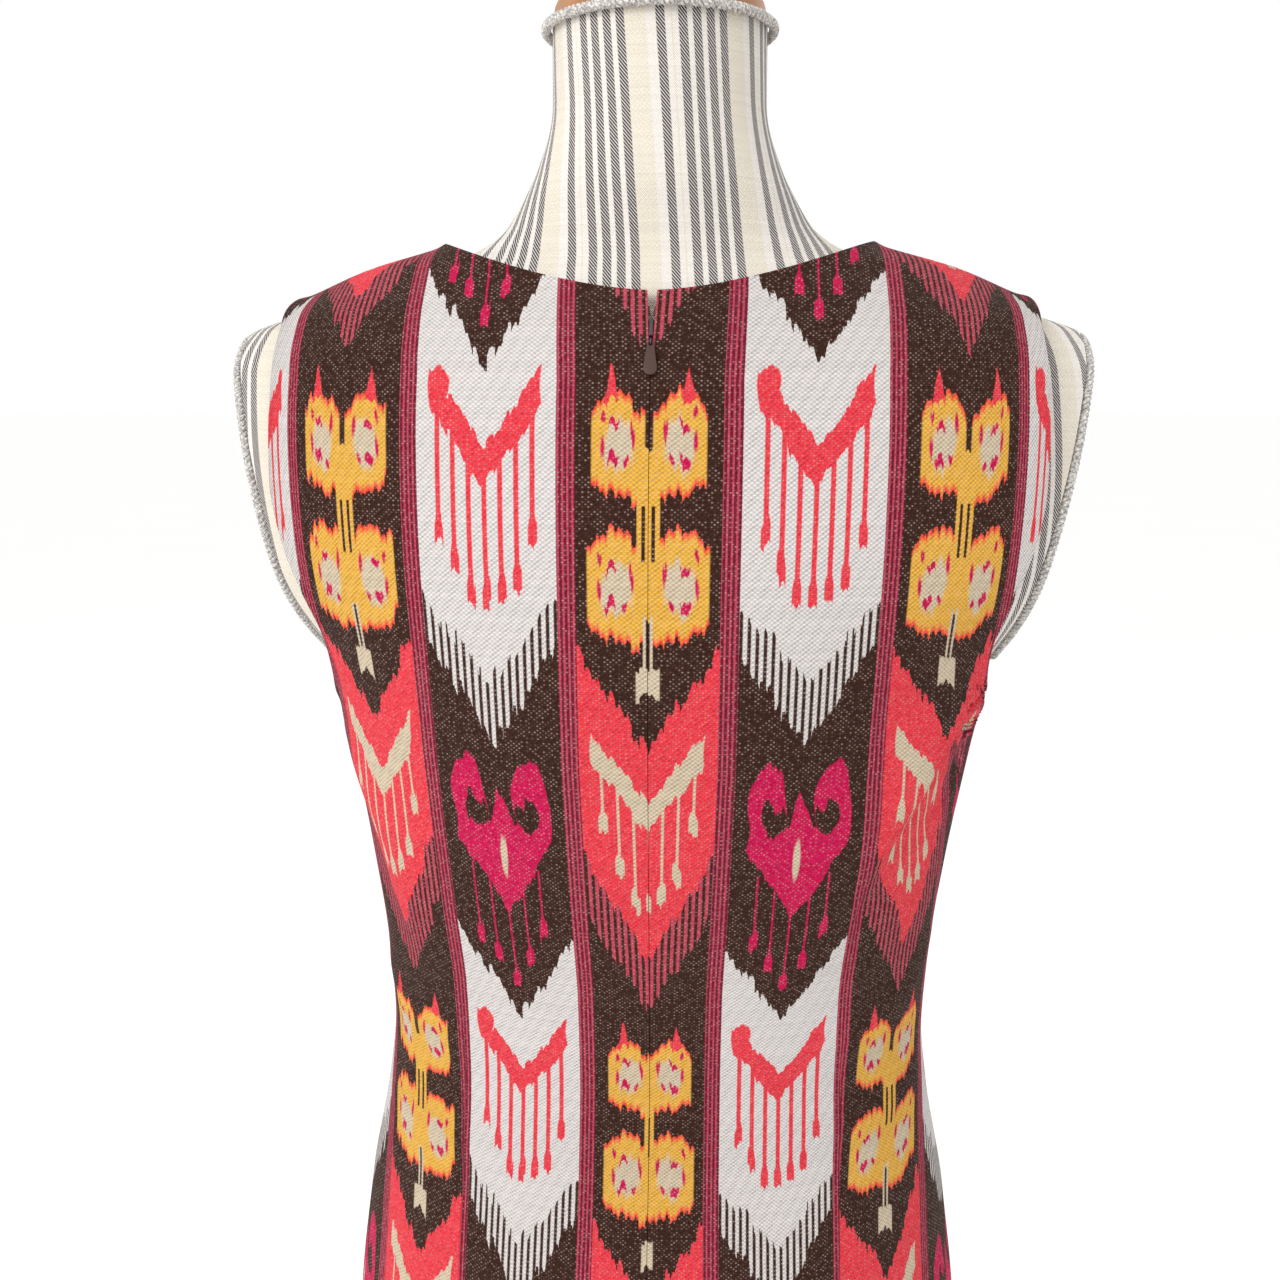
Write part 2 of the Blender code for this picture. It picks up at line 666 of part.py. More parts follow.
def arm_outline(inset):
    """Points round the flat arm end in its own frame, drawn in by inset."""
    levels = np.linspace(ARM_CUT_BOTTOM, NECK_POINT, 3 * CURVE_SAMPLES)
    widths = np.array([form_point(0.0, float(level)).x for level in levels])
    inside = levels[widths > arm_cut_half_width(levels)]
    low, high = float(inside[0]), float(inside[-1])
    middle, reach = (low + high) / 2, (high - low) / 2
    along = math.hypot(1.0, ARM_CUT_SLOPE)
    points = []
    for index in range(CORD_POINTS):
        turn = 2 * math.pi * index / CORD_POINTS
        facing = math.copysign(1.0, math.cos(turn))
        height = middle + reach * math.sin(turn)
        quarter = form_point(facing * math.pi / 2, height)
        level = height + form_inset(height)
        roundness = float(section_value("roundness", level))
        ratio = min(arm_cut_half_width(height) / form_point(0.0, height).x, 1.0)
        depth = quarter.y * (1.0 - ratio**roundness) ** (1.0 / roundness)
        points.append((depth, (height - ARM_CUT_HEIGHT) * along))
    deepest = max(abs(depth) for depth, _ in points)
    centre = (middle - ARM_CUT_HEIGHT) * along
    shrink_x = 1.0 - inset / deepest
    shrink_y = 1.0 - inset / (reach * along)
    return [(depth * shrink_x, centre + (up - centre) * shrink_y) for depth, up in points]


def make_arm_end(name, hand, plate_material, cord_material):
    """The flat oval plate at the form's arm, and the cord sewn round it."""
    frame = arm_frame(hand)
    # The frame's X runs backward on the left arm and forward on the right.
    facing = frame[1][0]
    cord_inset = CORD_RADIUS + ARM_CORD_MARGIN
    plate_inset = cord_inset + CORD_RADIUS + 2 * SEAM_GAP
    plate_mesh = curve_mesh(
        f"arm_plate_{name}",
        [[(facing * depth, up, 0.0) for depth, up in arm_outline(plate_inset)]],
        frame @ Matrix.Translation((0.0, 0.0, SEAM_GAP + PLATE_THICKNESS / 2)),
        cyclic=True,
        dimensions="2D",
        fill_mode="BOTH",
        extrude=PLATE_THICKNESS / 2,
    )
    add_object(f"arm_plate_{name}", plate_mesh, plate_material)
    cord_mesh = curve_mesh(
        f"arm_cord_{name}",
        [[(facing * depth, up, 0.0) for depth, up in arm_outline(cord_inset)]],
        frame @ Matrix.Translation((0.0, 0.0, SEAM_GAP + CORD_RADIUS)),
        cyclic=True,
        dimensions="3D",
        bevel_depth=CORD_RADIUS,
        bevel_resolution=1,
    )
    add_object(f"arm_cord_{name}", cord_mesh, cord_material)


def make_neck_cord(material):
    """A ring of cord outside the neck, just under its top."""
    height = NECK_TOP - CORD_RADIUS
    reach = CORD_RADIUS + 2 * SEAM_GAP
    points = []
    for index in range(CORD_POINTS):
        turn = 2 * math.pi * index / CORD_POINTS
        surface = form_point(turn, height)
        away = Vector((math.cos(turn), math.sin(turn), 0.0))
        points.append(surface + away * reach)
    mesh = curve_mesh(
        "neck_cord",
        [points],
        Matrix.Identity(4),
        cyclic=True,
        dimensions="3D",
        bevel_depth=CORD_RADIUS,
        bevel_resolution=1,
    )
    return add_object("neck_cord", mesh, material)


def make_turned(name, profile, material, stretch=(1.0, 1.0), steps=28):
    """A turned piece: a profile of (radius, height) from its top down its outer side."""
    bm = bmesh.new()
    verts = [bm.verts.new((radius, 0.0, height)) for radius, height in profile]
    for first, second in zip(verts, verts[1:]):
        bm.edges.new((first, second))
    bmesh.ops.spin(
        bm,
        geom=bm.verts[:] + bm.edges[:],
        cent=(0.0, 0.0, 0.0),
        axis=(0.0, 0.0, 1.0),
        angle=2 * math.pi,
        steps=steps,
        use_merge=True,
    )
    bmesh.ops.remove_doubles(bm, verts=bm.verts, dist=1e-6)
    bmesh.ops.scale(bm, vec=(*stretch, 1.0), verts=bm.verts)
    return add_object(name, mesh_from(bm, name), material)


def rounded(radius, height, centre_radius, start, end, count=5):
    """Profile points of a quarter-round moulding, angles in degrees from outward to up."""
    return [
        (
            centre_radius + radius * math.cos(math.radians(angle)),
            height + radius * math.sin(math.radians(angle)),
        )
        for angle in np.linspace(start, end, count)
    ]


def make_neck_cap(material):
    """A low turned cap that closes the neck."""
    edge = float(section_value("half_width", NECK_TOP)) - CAP_SET_BACK
    foot = NECK_TOP + SEAM_GAP
    dome = [
        (edge * math.cos(angle), foot + CAP_FOOT_HEIGHT + CAP_RISE * math.sin(angle))
        for angle in np.linspace(math.pi / 2, 0.0, 8)
    ]
    profile = dome + [(edge, foot), (0.0, foot)]
    depth = float(section_value("back", NECK_TOP)) - CAP_SET_BACK
    return make_turned("neck_cap", profile, material, stretch=(1.0, depth / edge))


def make_stand(wood, metal):
    """Flange under the form, pole, and a round base that stands on the floor."""
    top = FORM_BOTTOM - SEAM_GAP
    socket = POLE_RADIUS + FLANGE_SOCKET_WALL
    plate_foot = top - FLANGE_PLATE
    flange_foot = top - FLANGE_HEIGHT
    flange = [(0.0, top), (FLANGE_RADIUS, top), (FLANGE_RADIUS, plate_foot)]
    flange += [(socket, plate_foot - FLANGE_FILLET), (socket, flange_foot), (0.0, flange_foot)]
    make_turned("form_flange", flange, metal)
    pole_top = flange_foot - SEAM_GAP
    pole_foot = HUB_HEIGHT + SEAM_GAP
    pole = [(0.0, pole_top), (POLE_RADIUS, pole_top), (POLE_RADIUS, pole_foot), (0.0, pole_foot)]
    make_turned("pole", pole, metal, steps=20)
    lip_centre = HUB_TOP_RADIUS - HUB_LIP_RADIUS
    edge_centre = BASE_RADIUS - BASE_EDGE_RADIUS
    base = [(0.0, HUB_HEIGHT)]
    base += rounded(HUB_LIP_RADIUS, HUB_HEIGHT - HUB_LIP_RADIUS, lip_centre, 90.0, 0.0)
    base += [(HUB_WAIST_RADIUS, HUB_WAIST_HEIGHT), (HUB_RADIUS, BASE_HEIGHT)]
    base += rounded(BASE_EDGE_RADIUS, BASE_HEIGHT - BASE_EDGE_RADIUS, edge_centre, 90.0, 0.0)
    base += [(BASE_RADIUS, BASE_FOOT_CHAMFER), (BASE_RADIUS - BASE_FOOT_CHAMFER, 0.0), (0.0, 0.0)]
    make_turned("base", base, wood, steps=40)


def main():
    clear_scene()
    make_back("back_left", 1.0, principled("Woven cloth, left back", (0.34, 0.10, 0.10), 0.9))
    make_back("back_right", -1.0, principled("Woven cloth, right back", (0.36, 0.11, 0.11), 0.9))
    make_front(principled("Woven cloth, front", (0.30, 0.08, 0.09), 0.9))
    make_zip_tape(principled("Zip tape", (0.10, 0.055, 0.045), 0.85))
    make_zip_slider(principled("Slider metal", (0.18, 0.16, 0.14), 0.35, 1.0))
    make_zip_pull(principled("Painted tab", (0.13, 0.06, 0.045), 0.5))
    make_form_torso(principled("Striped linen", (0.78, 0.73, 0.66), 0.9))
    plate_material = principled("Striped linen, plates", (0.80, 0.75, 0.68), 0.9)
    cord_material = principled("Twisted cord", (0.72, 0.70, 0.66), 0.8)
    make_arm_end("left", 1.0, plate_material, cord_material)
    make_arm_end("right", -1.0, plate_material, cord_material)
    make_neck_cord(principled("Twisted neck cord", (0.72, 0.70, 0.66), 0.8))
    make_neck_cap(principled("Turned cap", (0.50, 0.33, 0.19), 0.45))
    wood = principled("Turned base", (0.50, 0.33, 0.19), 0.45)
    metal = principled("Pole metal", (0.62, 0.61, 0.60), 0.3, 1.0)
    make_stand(wood, metal)


if __name__ == "__main__":
    main()
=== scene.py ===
"""A sleeveless sheath dress of warp-ikat cloth on its striped linen dress form.

Metres, +Z up. The dress front faces -Y, its back and zip face +Y, and the wearer's left is +X.
"""

import collections
import math

import bmesh
import bpy
import numpy as np
from bpy.props import FloatProperty, FloatVectorProperty, PointerProperty
from mathutils import Matrix, Vector


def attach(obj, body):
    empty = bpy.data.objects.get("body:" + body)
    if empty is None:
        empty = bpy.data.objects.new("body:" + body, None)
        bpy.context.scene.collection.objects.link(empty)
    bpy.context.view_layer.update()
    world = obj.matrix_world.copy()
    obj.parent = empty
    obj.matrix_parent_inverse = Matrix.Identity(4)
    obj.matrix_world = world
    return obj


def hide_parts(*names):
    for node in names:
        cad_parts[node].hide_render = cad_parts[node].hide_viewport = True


bl_info = {
    "name": "Sheath dress on dress form",
    "version": (1, 0, 0),
    "blender": (4, 5, 0),
    "location": "View3D > Sidebar > Dress form",
    "description": "Builds the cloth, zip, dress form, stand and stage around the packed frame",
    "category": "Object",
}

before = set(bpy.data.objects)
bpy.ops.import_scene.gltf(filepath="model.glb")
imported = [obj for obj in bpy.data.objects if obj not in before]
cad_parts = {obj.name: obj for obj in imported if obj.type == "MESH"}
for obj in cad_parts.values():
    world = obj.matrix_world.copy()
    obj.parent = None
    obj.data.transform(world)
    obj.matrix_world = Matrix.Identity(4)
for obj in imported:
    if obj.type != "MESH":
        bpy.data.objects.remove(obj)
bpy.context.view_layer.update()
MM = 1000.0

# Heights above the floor.
HEM = 0.440
FORM_BOTTOM = 0.720
UNDERARM = 1.168
SHOULDER_TIP = 1.372
NECK_POINT = 1.397
NECK_FOOT = 1.415
NECK_TOP = 1.496

# Dress.
SEAM_GAP = 0.0003
NECK_HALF_WIDTH = 0.104
SHOULDER_HALF_WIDTH = 0.178
BACK_NECK_DROP = 0.026
FRONT_NECK_DROP = 0.078
BACK_NECK_CURVE = 1.6
FRONT_NECK_CURVE = 2.2
FRONT_NECK_SCOOP = 0.62
BODICE_ROWS = 92
CURVE_SAMPLES = 240

# Bust: two soft rounds, from the darts.
BUST_HEIGHT = 1.122
BUST_HALF_SPACING = 0.082
BUST_RISE = 0.017
BUST_SPREAD_X = 0.046
BUST_SPREAD_Z = 0.048

# Where the pattern and the darts lie on the cloth.
PATTERN_TOP = 1.340
GRAIN_HEIGHT = 1.200
GRAIN_X = 0.040
DART_X = {"back": 0.098, "front": 0.080}
EDGE_ROLL = 0.0008
EDGE_ROLL_WIDTH = 0.0035
BUST_DART_HEIGHT = 1.120
BUST_DART_TAKE = 0.020
BUST_DART_TIP_X = 0.100

# Dress form.
ARM_CUT_HALF_WIDTH = 0.1985
ARM_CUT_HEIGHT = 1.335
ARM_CUT_SLOPE = 0.205
ARM_CUT_BOTTOM = 1.192
PLATE_THICKNESS = 0.004
PLATE_BEVEL = 0.0012
CORD_RADIUS = 0.0025
ARM_CORD_MARGIN = 0.0008
CAP_SET_BACK = 0.001
CAP_FOOT_HEIGHT = 0.005
CAP_RISE = 0.016
FORM_SIDES = 144
TICKING_LEAN = 0.075
OUTLINE_POINTS = 120

# Twisted cord: three strands laid round each other.
STRANDS = 3
STRAND_RADIUS = 0.00125
STRAND_OFFSET = 0.00120
STRAND_PITCH = 0.0085
STRAND_SIDES = 7
POINTS_PER_TWIST = 11

# Stand.
FLANGE_RADIUS = 0.032
FLANGE_HEIGHT = 0.030
FLANGE_PLATE = 0.006
FLANGE_FILLET = 0.003
FLANGE_SOCKET_WALL = 0.005
POLE_RADIUS = 0.0125
BASE_RADIUS = 0.190
BASE_HEIGHT = 0.024
BASE_EDGE_RADIUS = 0.008
BASE_FOOT_CHAMFER = 0.002
HUB_RADIUS = 0.040
HUB_HEIGHT = 0.042
HUB_WAIST_RADIUS = 0.030
HUB_WAIST_HEIGHT = 0.030
HUB_LIP_RADIUS = 0.004
HUB_TOP_RADIUS = 0.026
TURNING_STEPS = 96

# Zip.
ZIP_OPEN_FROM = 1.334
ZIP_OPEN_HALF_WIDTH = 0.0020
TAPE_BEHIND = 0.0023
TAPE_TOP = 1.366
SLIDER_HEIGHT = 1.3545
SLIDER_PLATES = (
    # Size across, out and up, then the place out from the cloth and up from the slider's middle.
    (0.0052, 0.0007, 0.0120, -0.0041, 0.0005),
    (0.0046, 0.0007, 0.0110, -0.0027, 0.0005),
    (0.0012, 0.0014, 0.0040, -0.0034, 0.0030),
    (0.0017, 0.0030, 0.0086, -0.0012, 0.0012),
)
SLIDER_PLATE_ROUNDING = 0.0003
PIVOT_HEIGHT = 1.3485
PIVOT_PROUD = 0.0014
BAIL_WIRE_RADIUS = 0.0004
BAIL_RING_RADIUS = 0.0012
BAIL_SIDES = 12
PULL_LENGTH = 0.0156
PULL_THICKNESS = 0.0008
PULL_BEVEL = 0.00025
PULL_EYE_RADIUS = 0.0015
PULL_EYE_DROP = 0.0010
PULL_HOLE_RADIUS = 0.0008
PULL_HOLE_DROP = 0.00125
PULL_END_RADIUS = 0.0030
COIL_RADIUS = 0.0006
COIL_WIRE = 0.00018
COIL_PITCH = 0.0009
COIL_FROM = 1.3615
COIL_BEHIND = 0.0026
COIL_APART = (0.0010, 0.0019)
COIL_SIDES = 6
COIL_STEPS = 12

# Camera, from the picture's own perspective.
PICTURE_WIDTH = 1280
FOCAL_LENGTH_PX = 1150
SENSOR_WIDTH = 36.0
CAMERA_PITCH = 13.2
CAMERA_YAW = 3.2
CAMERA_DISTANCE = 0.60
CAMERA_HEIGHT = 1.337
CAMERA_TARGET_X = 0.0095

# Stage.
FLOOR_RADIUS = 40.0
LIGHT_TARGET = (0.0, 0.0, 1.1)
KEY_PLACE = (1.7, 2.0, 2.5)
KEY_SIZE = 1.4
FILL_PLACE = (-1.9, -2.2, 2.4)
FILL_SIZE = 2.2

# Dyeing and weaving of the dress's cloth: slips along the warp and widths, all in millimetres.
THREAD_SLIP = 3.4
BUNDLE_SLIP = 6.5
BUNDLE_TOOTH = 5.0
SLIP_MIDDLE = 6.2
BUNDLE_THREADS = 2.7
BROWN_HALF_WIDTH = 30.0
PALE_HALF_WIDTH = 30.5
PINSTRIPE_PITCH = 2.1
DART_LEAST = 1.0
SEAM_RIDGE = 7.0
EDGE_RIDGE = 6.0
PALE_V_START = 331.0
PALE_V_LENGTH = 330.0

# The form's striped linen: places in its repeat and widths, all in millimetres.
TICKING_REPEAT = 47.6
SINGLE_STRIPE = 8.8
STRIPE_GROUP = 18.8
STRIPE_PITCH = 6.5
STRIPES_AFTER_FIRST = 3.0
STRIPE_HALF_WIDTH = 2.0
BAND_MIDDLE = 2.75
BAND_HALF_WIDTH = 5.2
YELLOW_LINE = 13.8
YELLOW_PITCH = 23.8

PanelGrid = collections.namedtuple("PanelGrid", "columns neck_columns")
PANEL_GRIDS = {"back": PanelGrid(120, 70), "front": PanelGrid(60, 35)}

RowRun = collections.namedtuple("RowRun", "top rows")
SKIRT_ROWS = (
    # Rows of the cloth above the hem, closer together where it creases.
    RowRun(0.880, 46),
    RowRun(1.030, 36),
    RowRun(UNDERARM, 60),
)
FORM_ROWS = (
    RowRun(UNDERARM, 44),
    RowRun(ARM_CUT_HEIGHT, 40),
    RowRun(NECK_FOOT, 48),
    RowRun(NECK_TOP, 24),
)

Section = collections.namedtuple("Section", "height half_width front back roundness")
SECTIONS = (
    # Outer face of the cloth from hem to shoulder, then the form's neck.
    Section(HEM, 0.168, 0.121, 0.118, 2.15),
    Section(0.600, 0.175, 0.125, 0.127, 2.15),
    Section(0.780, 0.178, 0.129, 0.133, 2.15),
    Section(0.880, 0.167, 0.123, 0.116, 2.15),
    Section(0.945, 0.1545, 0.113, 0.091, 2.15),
    Section(0.985, 0.1502, 0.108, 0.082, 2.15),
    Section(1.030, 0.1518, 0.110, 0.085, 2.15),
    Section(1.080, 0.1565, 0.117, 0.094, 2.15),
    Section(1.125, 0.1625, 0.123, 0.102, 2.15),
    Section(UNDERARM, 0.1700, 0.123, 0.107, 2.12),
    Section(1.200, 0.1800, 0.118, 0.109, 2.10),
    Section(1.255, 0.2280, 0.109, 0.108, 2.10),
    Section(1.305, 0.2440, 0.098, 0.101, 2.08),
    Section(1.340, 0.2380, 0.088, 0.090, 2.05),
    Section(1.360, 0.2130, 0.077, 0.080, 2.00),
    Section(SHOULDER_TIP, SHOULDER_HALF_WIDTH, 0.068, 0.072, 2.00),
    Section(1.385, 0.146, 0.060, 0.064, 2.00),
    Section(NECK_POINT, NECK_HALF_WIDTH, 0.054, 0.058, 2.00),
    Section(1.410, 0.078, 0.052, 0.054, 2.00),
    Section(1.430, 0.060, 0.050, 0.051, 2.00),
    Section(1.460, 0.0515, 0.048, 0.048, 2.00),
    Section(NECK_TOP, 0.0510, 0.048, 0.048, 2.00),
)

Inset = collections.namedtuple("Inset", "height depth")
INSETS = (
    # How far the form lies inside the table above: the cloth rests on its shoulders.
    Inset(HEM, 0.0052),
    Inset(1.150, 0.0052),
    Inset(1.195, 0.0088),
    Inset(1.245, 0.0052),
    Inset(1.362, 0.0052),
    Inset(1.373, 0.0027),
    Inset(1.378, 0.0031),
    Inset(1.389, 0.0064),
    Inset(1.430, 0.0),
    Inset(NECK_TOP, 0.0),
)

ArmholePoint = collections.namedtuple("ArmholePoint", "height back front")
ARMHOLE = (
    # Half-widths of the armhole's back and front edges at each height.
    ArmholePoint(UNDERARM, 0.1700, 0.1700),
    ArmholePoint(1.176, 0.1655, 0.1640),
    ArmholePoint(1.190, 0.1625, 0.1565),
    ArmholePoint(1.210, 0.1620, 0.1505),
    ArmholePoint(1.235, 0.1670, 0.1480),
    ArmholePoint(1.260, 0.1735, 0.1490),
    ArmholePoint(1.285, 0.1770, 0.1520),
    ArmholePoint(1.330, 0.1765, 0.1600),
    ArmholePoint(1.355, 0.1755, 0.1680),
    ArmholePoint(SHOULDER_TIP, SHOULDER_HALF_WIDTH, SHOULDER_HALF_WIDTH),
)

Shaping = collections.namedtuple("Shaping", "height centre_seam back_dart front_dart eased stretched")
SHAPING = (
    # Cloth taken up on each side by the centre-back seam, a back dart and a front dart, cloth eased in
    # down its length, and the share by which it is stretched across.
    Shaping(HEM, 0.0, 0.0, 0.0, 0.0305, 0.0),
    Shaping(0.800, 0.0, 0.0, 0.0, 0.0305, 0.0),
    Shaping(0.840, 0.0006, 0.0036, 0.0, 0.0300, 0.0),
    Shaping(0.880, 0.0018, 0.0050, 0.0, 0.0285, 0.0),
    Shaping(0.915, 0.0023, 0.0042, 0.0040, 0.0245, 0.0),
    Shaping(0.937, 0.0024, 0.0030, 0.0064, 0.0205, 0.0),
    Shaping(0.985, 0.0024, 0.0008, 0.0090, 0.0098, 0.0),
    Shaping(1.030, 0.0022, 0.0, 0.0060, 0.0035, 0.0),
    Shaping(1.055, 0.0019, 0.0, 0.0024, 0.0, 0.012),
    Shaping(1.070, 0.0015, 0.0, 0.0, 0.0, 0.018),
    Shaping(1.150, 0.0002, 0.0, 0.0, 0.0, 0.040),
    Shaping(1.160, 0.0, 0.0, 0.0, 0.0, 0.042),
    Shaping(1.240, 0.0, 0.0, 0.0, 0.0, 0.050),
    Shaping(1.340, 0.0, 0.0, 0.0, 0.0, 0.062),
    Shaping(NECK_TOP, 0.0, 0.0, 0.0, 0.0, 0.062),
)

# How a crease swells along its path, how its tuck sets in, and how the seams hold it flat.
CREASE_START = 0.14
CREASE_RUN = 0.82
CREASE_FULLNESS = 0.7
TUCK_REACH = 0.0080
TUCK_START = 0.3
SIDE_HOLD = 14.0
CENTRE_HOLD = 9.0

Crease = collections.namedtuple("Crease", "panel path inner outer rise lean tuck", defaults=(0.0,))
CREASES = (
    # Ridges and troughs of the cloth. A path is (distance from the centre plane, height); inner and
    # outer are its widths towards the centre and the side, lean pushes its crest outward, and tuck is
    # the cloth that lies folded under it.
    Crease(
        "back_right",
        ((0.160, 1.176), (0.146, 1.174), (0.137, 1.162), (0.126, 1.141), (0.115, 1.121), (0.101, 1.088)),
        0.022,
        0.0055,
        0.0064,
        0.15,
        0.018,
    ),
    Crease("back_right", ((0.158, 1.158), (0.148, 1.138), (0.130, 1.108)), 0.007, 0.009, -0.0022, 0.0),
    Crease("back_right", ((0.090, 1.130), (0.084, 1.080), (0.080, 1.030)), 0.016, 0.014, 0.0014, 0.0),
    Crease("back_right", ((0.146, 1.040), (0.126, 1.010), (0.094, 0.996)), 0.012, 0.010, 0.0016, 0.0),
    Crease("back_right", ((0.142, 0.962), (0.118, 0.951), (0.082, 0.957)), 0.012, 0.010, 0.0012, 0.0),
    Crease("back_right", ((0.100, 0.700), (0.106, 0.600), (0.118, HEM)), 0.034, 0.030, 0.0032, 0.0),
    Crease("back_right", ((0.036, 0.640), (0.042, 0.540), (0.050, HEM)), 0.026, 0.026, -0.0022, 0.0),
    Crease("back_left", ((0.160, 1.150), (0.136, 1.108), (0.118, 1.040)), 0.018, 0.013, 0.0030, 0.2),
    Crease("back_left", ((0.154, 1.112), (0.142, 1.074), (0.132, 1.040)), 0.010, 0.009, -0.0013, 0.0),
    Crease("back_left", ((0.146, 1.014), (0.128, 0.996), (0.100, 0.990)), 0.012, 0.010, 0.0017, 0.0),
    Crease("back_left", ((0.142, 0.944), (0.116, 0.936), (0.086, 0.944)), 0.011, 0.010, 0.0011, 0.0),
    Crease("back_left", ((0.124, 0.720), (0.130, 0.600), (0.136, HEM)), 0.030, 0.034, 0.0030, 0.0),
    Crease("back_left", ((0.058, 0.660), (0.062, 0.560), (0.072, HEM)), 0.028, 0.024, -0.0024, 0.0),
    Crease("front_left", ((0.152, 1.150), (0.124, 1.104), (0.094, 1.066)), 0.014, 0.012, 0.0026, 0.0),
    Crease("front_left", ((0.146, 1.030), (0.124, 1.004), (0.092, 0.998)), 0.013, 0.011, 0.0017, 0.0),
    Crease("front_left", ((0.108, 0.700), (0.114, 0.580), (0.124, HEM)), 0.030, 0.030, 0.0030, 0.0),
    Crease("front_left", ((0.028, 0.690), (0.034, 0.560), (0.040, HEM)), 0.024, 0.024, -0.0020, 0.0),
    Crease("front_right", ((0.150, 1.146), (0.130, 1.096), (0.104, 1.044)), 0.016, 0.012, 0.0030, 0.0),
    Crease("front_right", ((0.146, 0.984), (0.128, 0.972), (0.094, 0.978)), 0.012, 0.011, 0.0015, 0.0),
    Crease("front_right", ((0.080, 0.720), (0.086, 0.600), (0.096, HEM)), 0.032, 0.028, 0.0032, 0.0),
    Crease("front_right", ((0.138, 0.660), (0.144, 0.560), (0.150, HEM)), 0.024, 0.028, -0.0018, 0.0),
)

# The pattern's paired lobes, in millimetres from the column's middle and from the repeat's top.
Lobe = collections.namedtuple("Lobe", "out down half_width half_height fall slant")
LOBES = (
    # Fall is the slope beside the peak, and slant that of the lower end.
    Lobe(12.4, 35.0, 10.9, 23.5, 0.62, 0.38),
    Lobe(13.2, 97.0, 12.0, 25.0, 0.30, 0.42),
)
LOBE_BEND = 0.028
LOBE_PEAK = 2.8

Oval = collections.namedtuple("Oval", "out down half_width half_height")
SPOTS = (
    # Streaks round a lobe's eye: their places as shares of the lobe, their sizes in millimetres.
    Oval(-0.54, -0.20, 1.0, 4.6),
    Oval(0.16, -0.30, 2.3, 1.9),
    Oval(0.56, -0.52, 1.0, 2.6),
    Oval(-0.30, 0.40, 1.2, 2.0),
    Oval(0.20, 0.34, 2.4, 2.8),
    Oval(0.58, 0.04, 0.9, 4.4),
)
CHEVRON_KNOB = Oval(-20.5, 9.0, 5.0, 8.0)
HORN = Oval(15.2, 203.0, 8.8, 23.0)
HORN_HOLLOW = Oval(12.4, 207.5, 5.8, 9.5)
HORN_HOOK = Oval(10.2, 196.5, 2.8, 8.5)
SEED = Oval(0.0, 231.0, 1.7, 11.0)

Chevron = collections.namedtuple("Chevron", "point thickness slope half_width")
CORAL_CHEVRON = Chevron(37.0, 18.0, 1.45, 24.5)
BEIGE_CHEVRON = Chevron(199.0, 15.0, 1.45, 24.5)

Bars = collections.namedtuple("Bars", "line shift pitch count start end arch drop")
CORAL_BARS = Bars(1.1, 0.0, 6.9, 3, 18.0, 103.0, 3.0, 0.9)
HORN_RUNS = Bars(0.45, -0.6, 8.4, 2, 238.0, 301.0, 6.5, 1.6)
BEIGE_BARS = Bars(0.6, 0.0, 6.8, 3, 178.0, 256.0, 5.0, 1.5)
BAR_UNEVENNESS = 9.0
DROP_LENGTH = 12.0

# How much of the threads' slip shows at the grounds' edges, at the lobes and drops, and at the curls.
GROUND_FRAY = 1.15
LOBE_FRAY = 0.8
CURL_FRAY = 0.45


# ------------------------------------------------------------------ shape of the dress and the form


def smooth_lookup(heights, values, height):
    """A smooth curve through the table's rows, flat where the values turn round."""
    heights = np.asarray(heights)
    values = np.asarray(values)
    steps = np.diff(heights)
    slopes = np.diff(values) / steps
    tangents = np.empty(len(values))
    tangents[0] = slopes[0]
    tangents[-1] = slopes[-1]
    same_way = slopes[:-1] * slopes[1:] > 0
    pair = np.where(same_way, slopes[:-1] + slopes[1:], 1.0)
    tangents[1:-1] = np.where(same_way, 2 * slopes[:-1] * slopes[1:] / pair, 0.0)
    height = np.clip(height, heights[0], heights[-1])
    row = np.clip(np.searchsorted(heights, height, side="right") - 1, 0, len(steps) - 1)
    step = steps[row]
    t = (height - heights[row]) / step
    start = values[row] * (1 + 2 * t) * (1 - t) ** 2 + tangents[row] * step * t * (1 - t) ** 2
    end = values[row + 1] * t * t * (3 - 2 * t) + tangents[row + 1] * step * t * t * (t - 1)
    return start + end


def lookup(table, column, height):
    """One column of a table of rows with heights, read smoothly at these heights."""
    heights = [row.height for row in table]
    return smooth_lookup(heights, [getattr(row, column) for row in table], height)


def bust_rise(x, height):
    """How far the bust lifts the front at these places."""
    across = (np.abs(x) - BUST_HALF_SPACING) / BUST_SPREAD_X
    upward = (height - BUST_HEIGHT) / BUST_SPREAD_Z
    return BUST_RISE * np.exp(-0.5 * (across**2 + upward**2))


def depth_at(side, x, height):
    """How far the cloth's outer face lies in front of or behind the side seams' plane."""
    roundness = lookup(SECTIONS, "roundness", height)
    ratio = np.clip(np.abs(x) / lookup(SECTIONS, "half_width", height), 0.0, 1.0)
    fullness = (1.0 - ratio**roundness) ** (1.0 / roundness)
    depth = lookup(SECTIONS, side, height) * fullness
    if side == "front":
        depth = depth + bust_rise(x, height) * fullness
    return depth


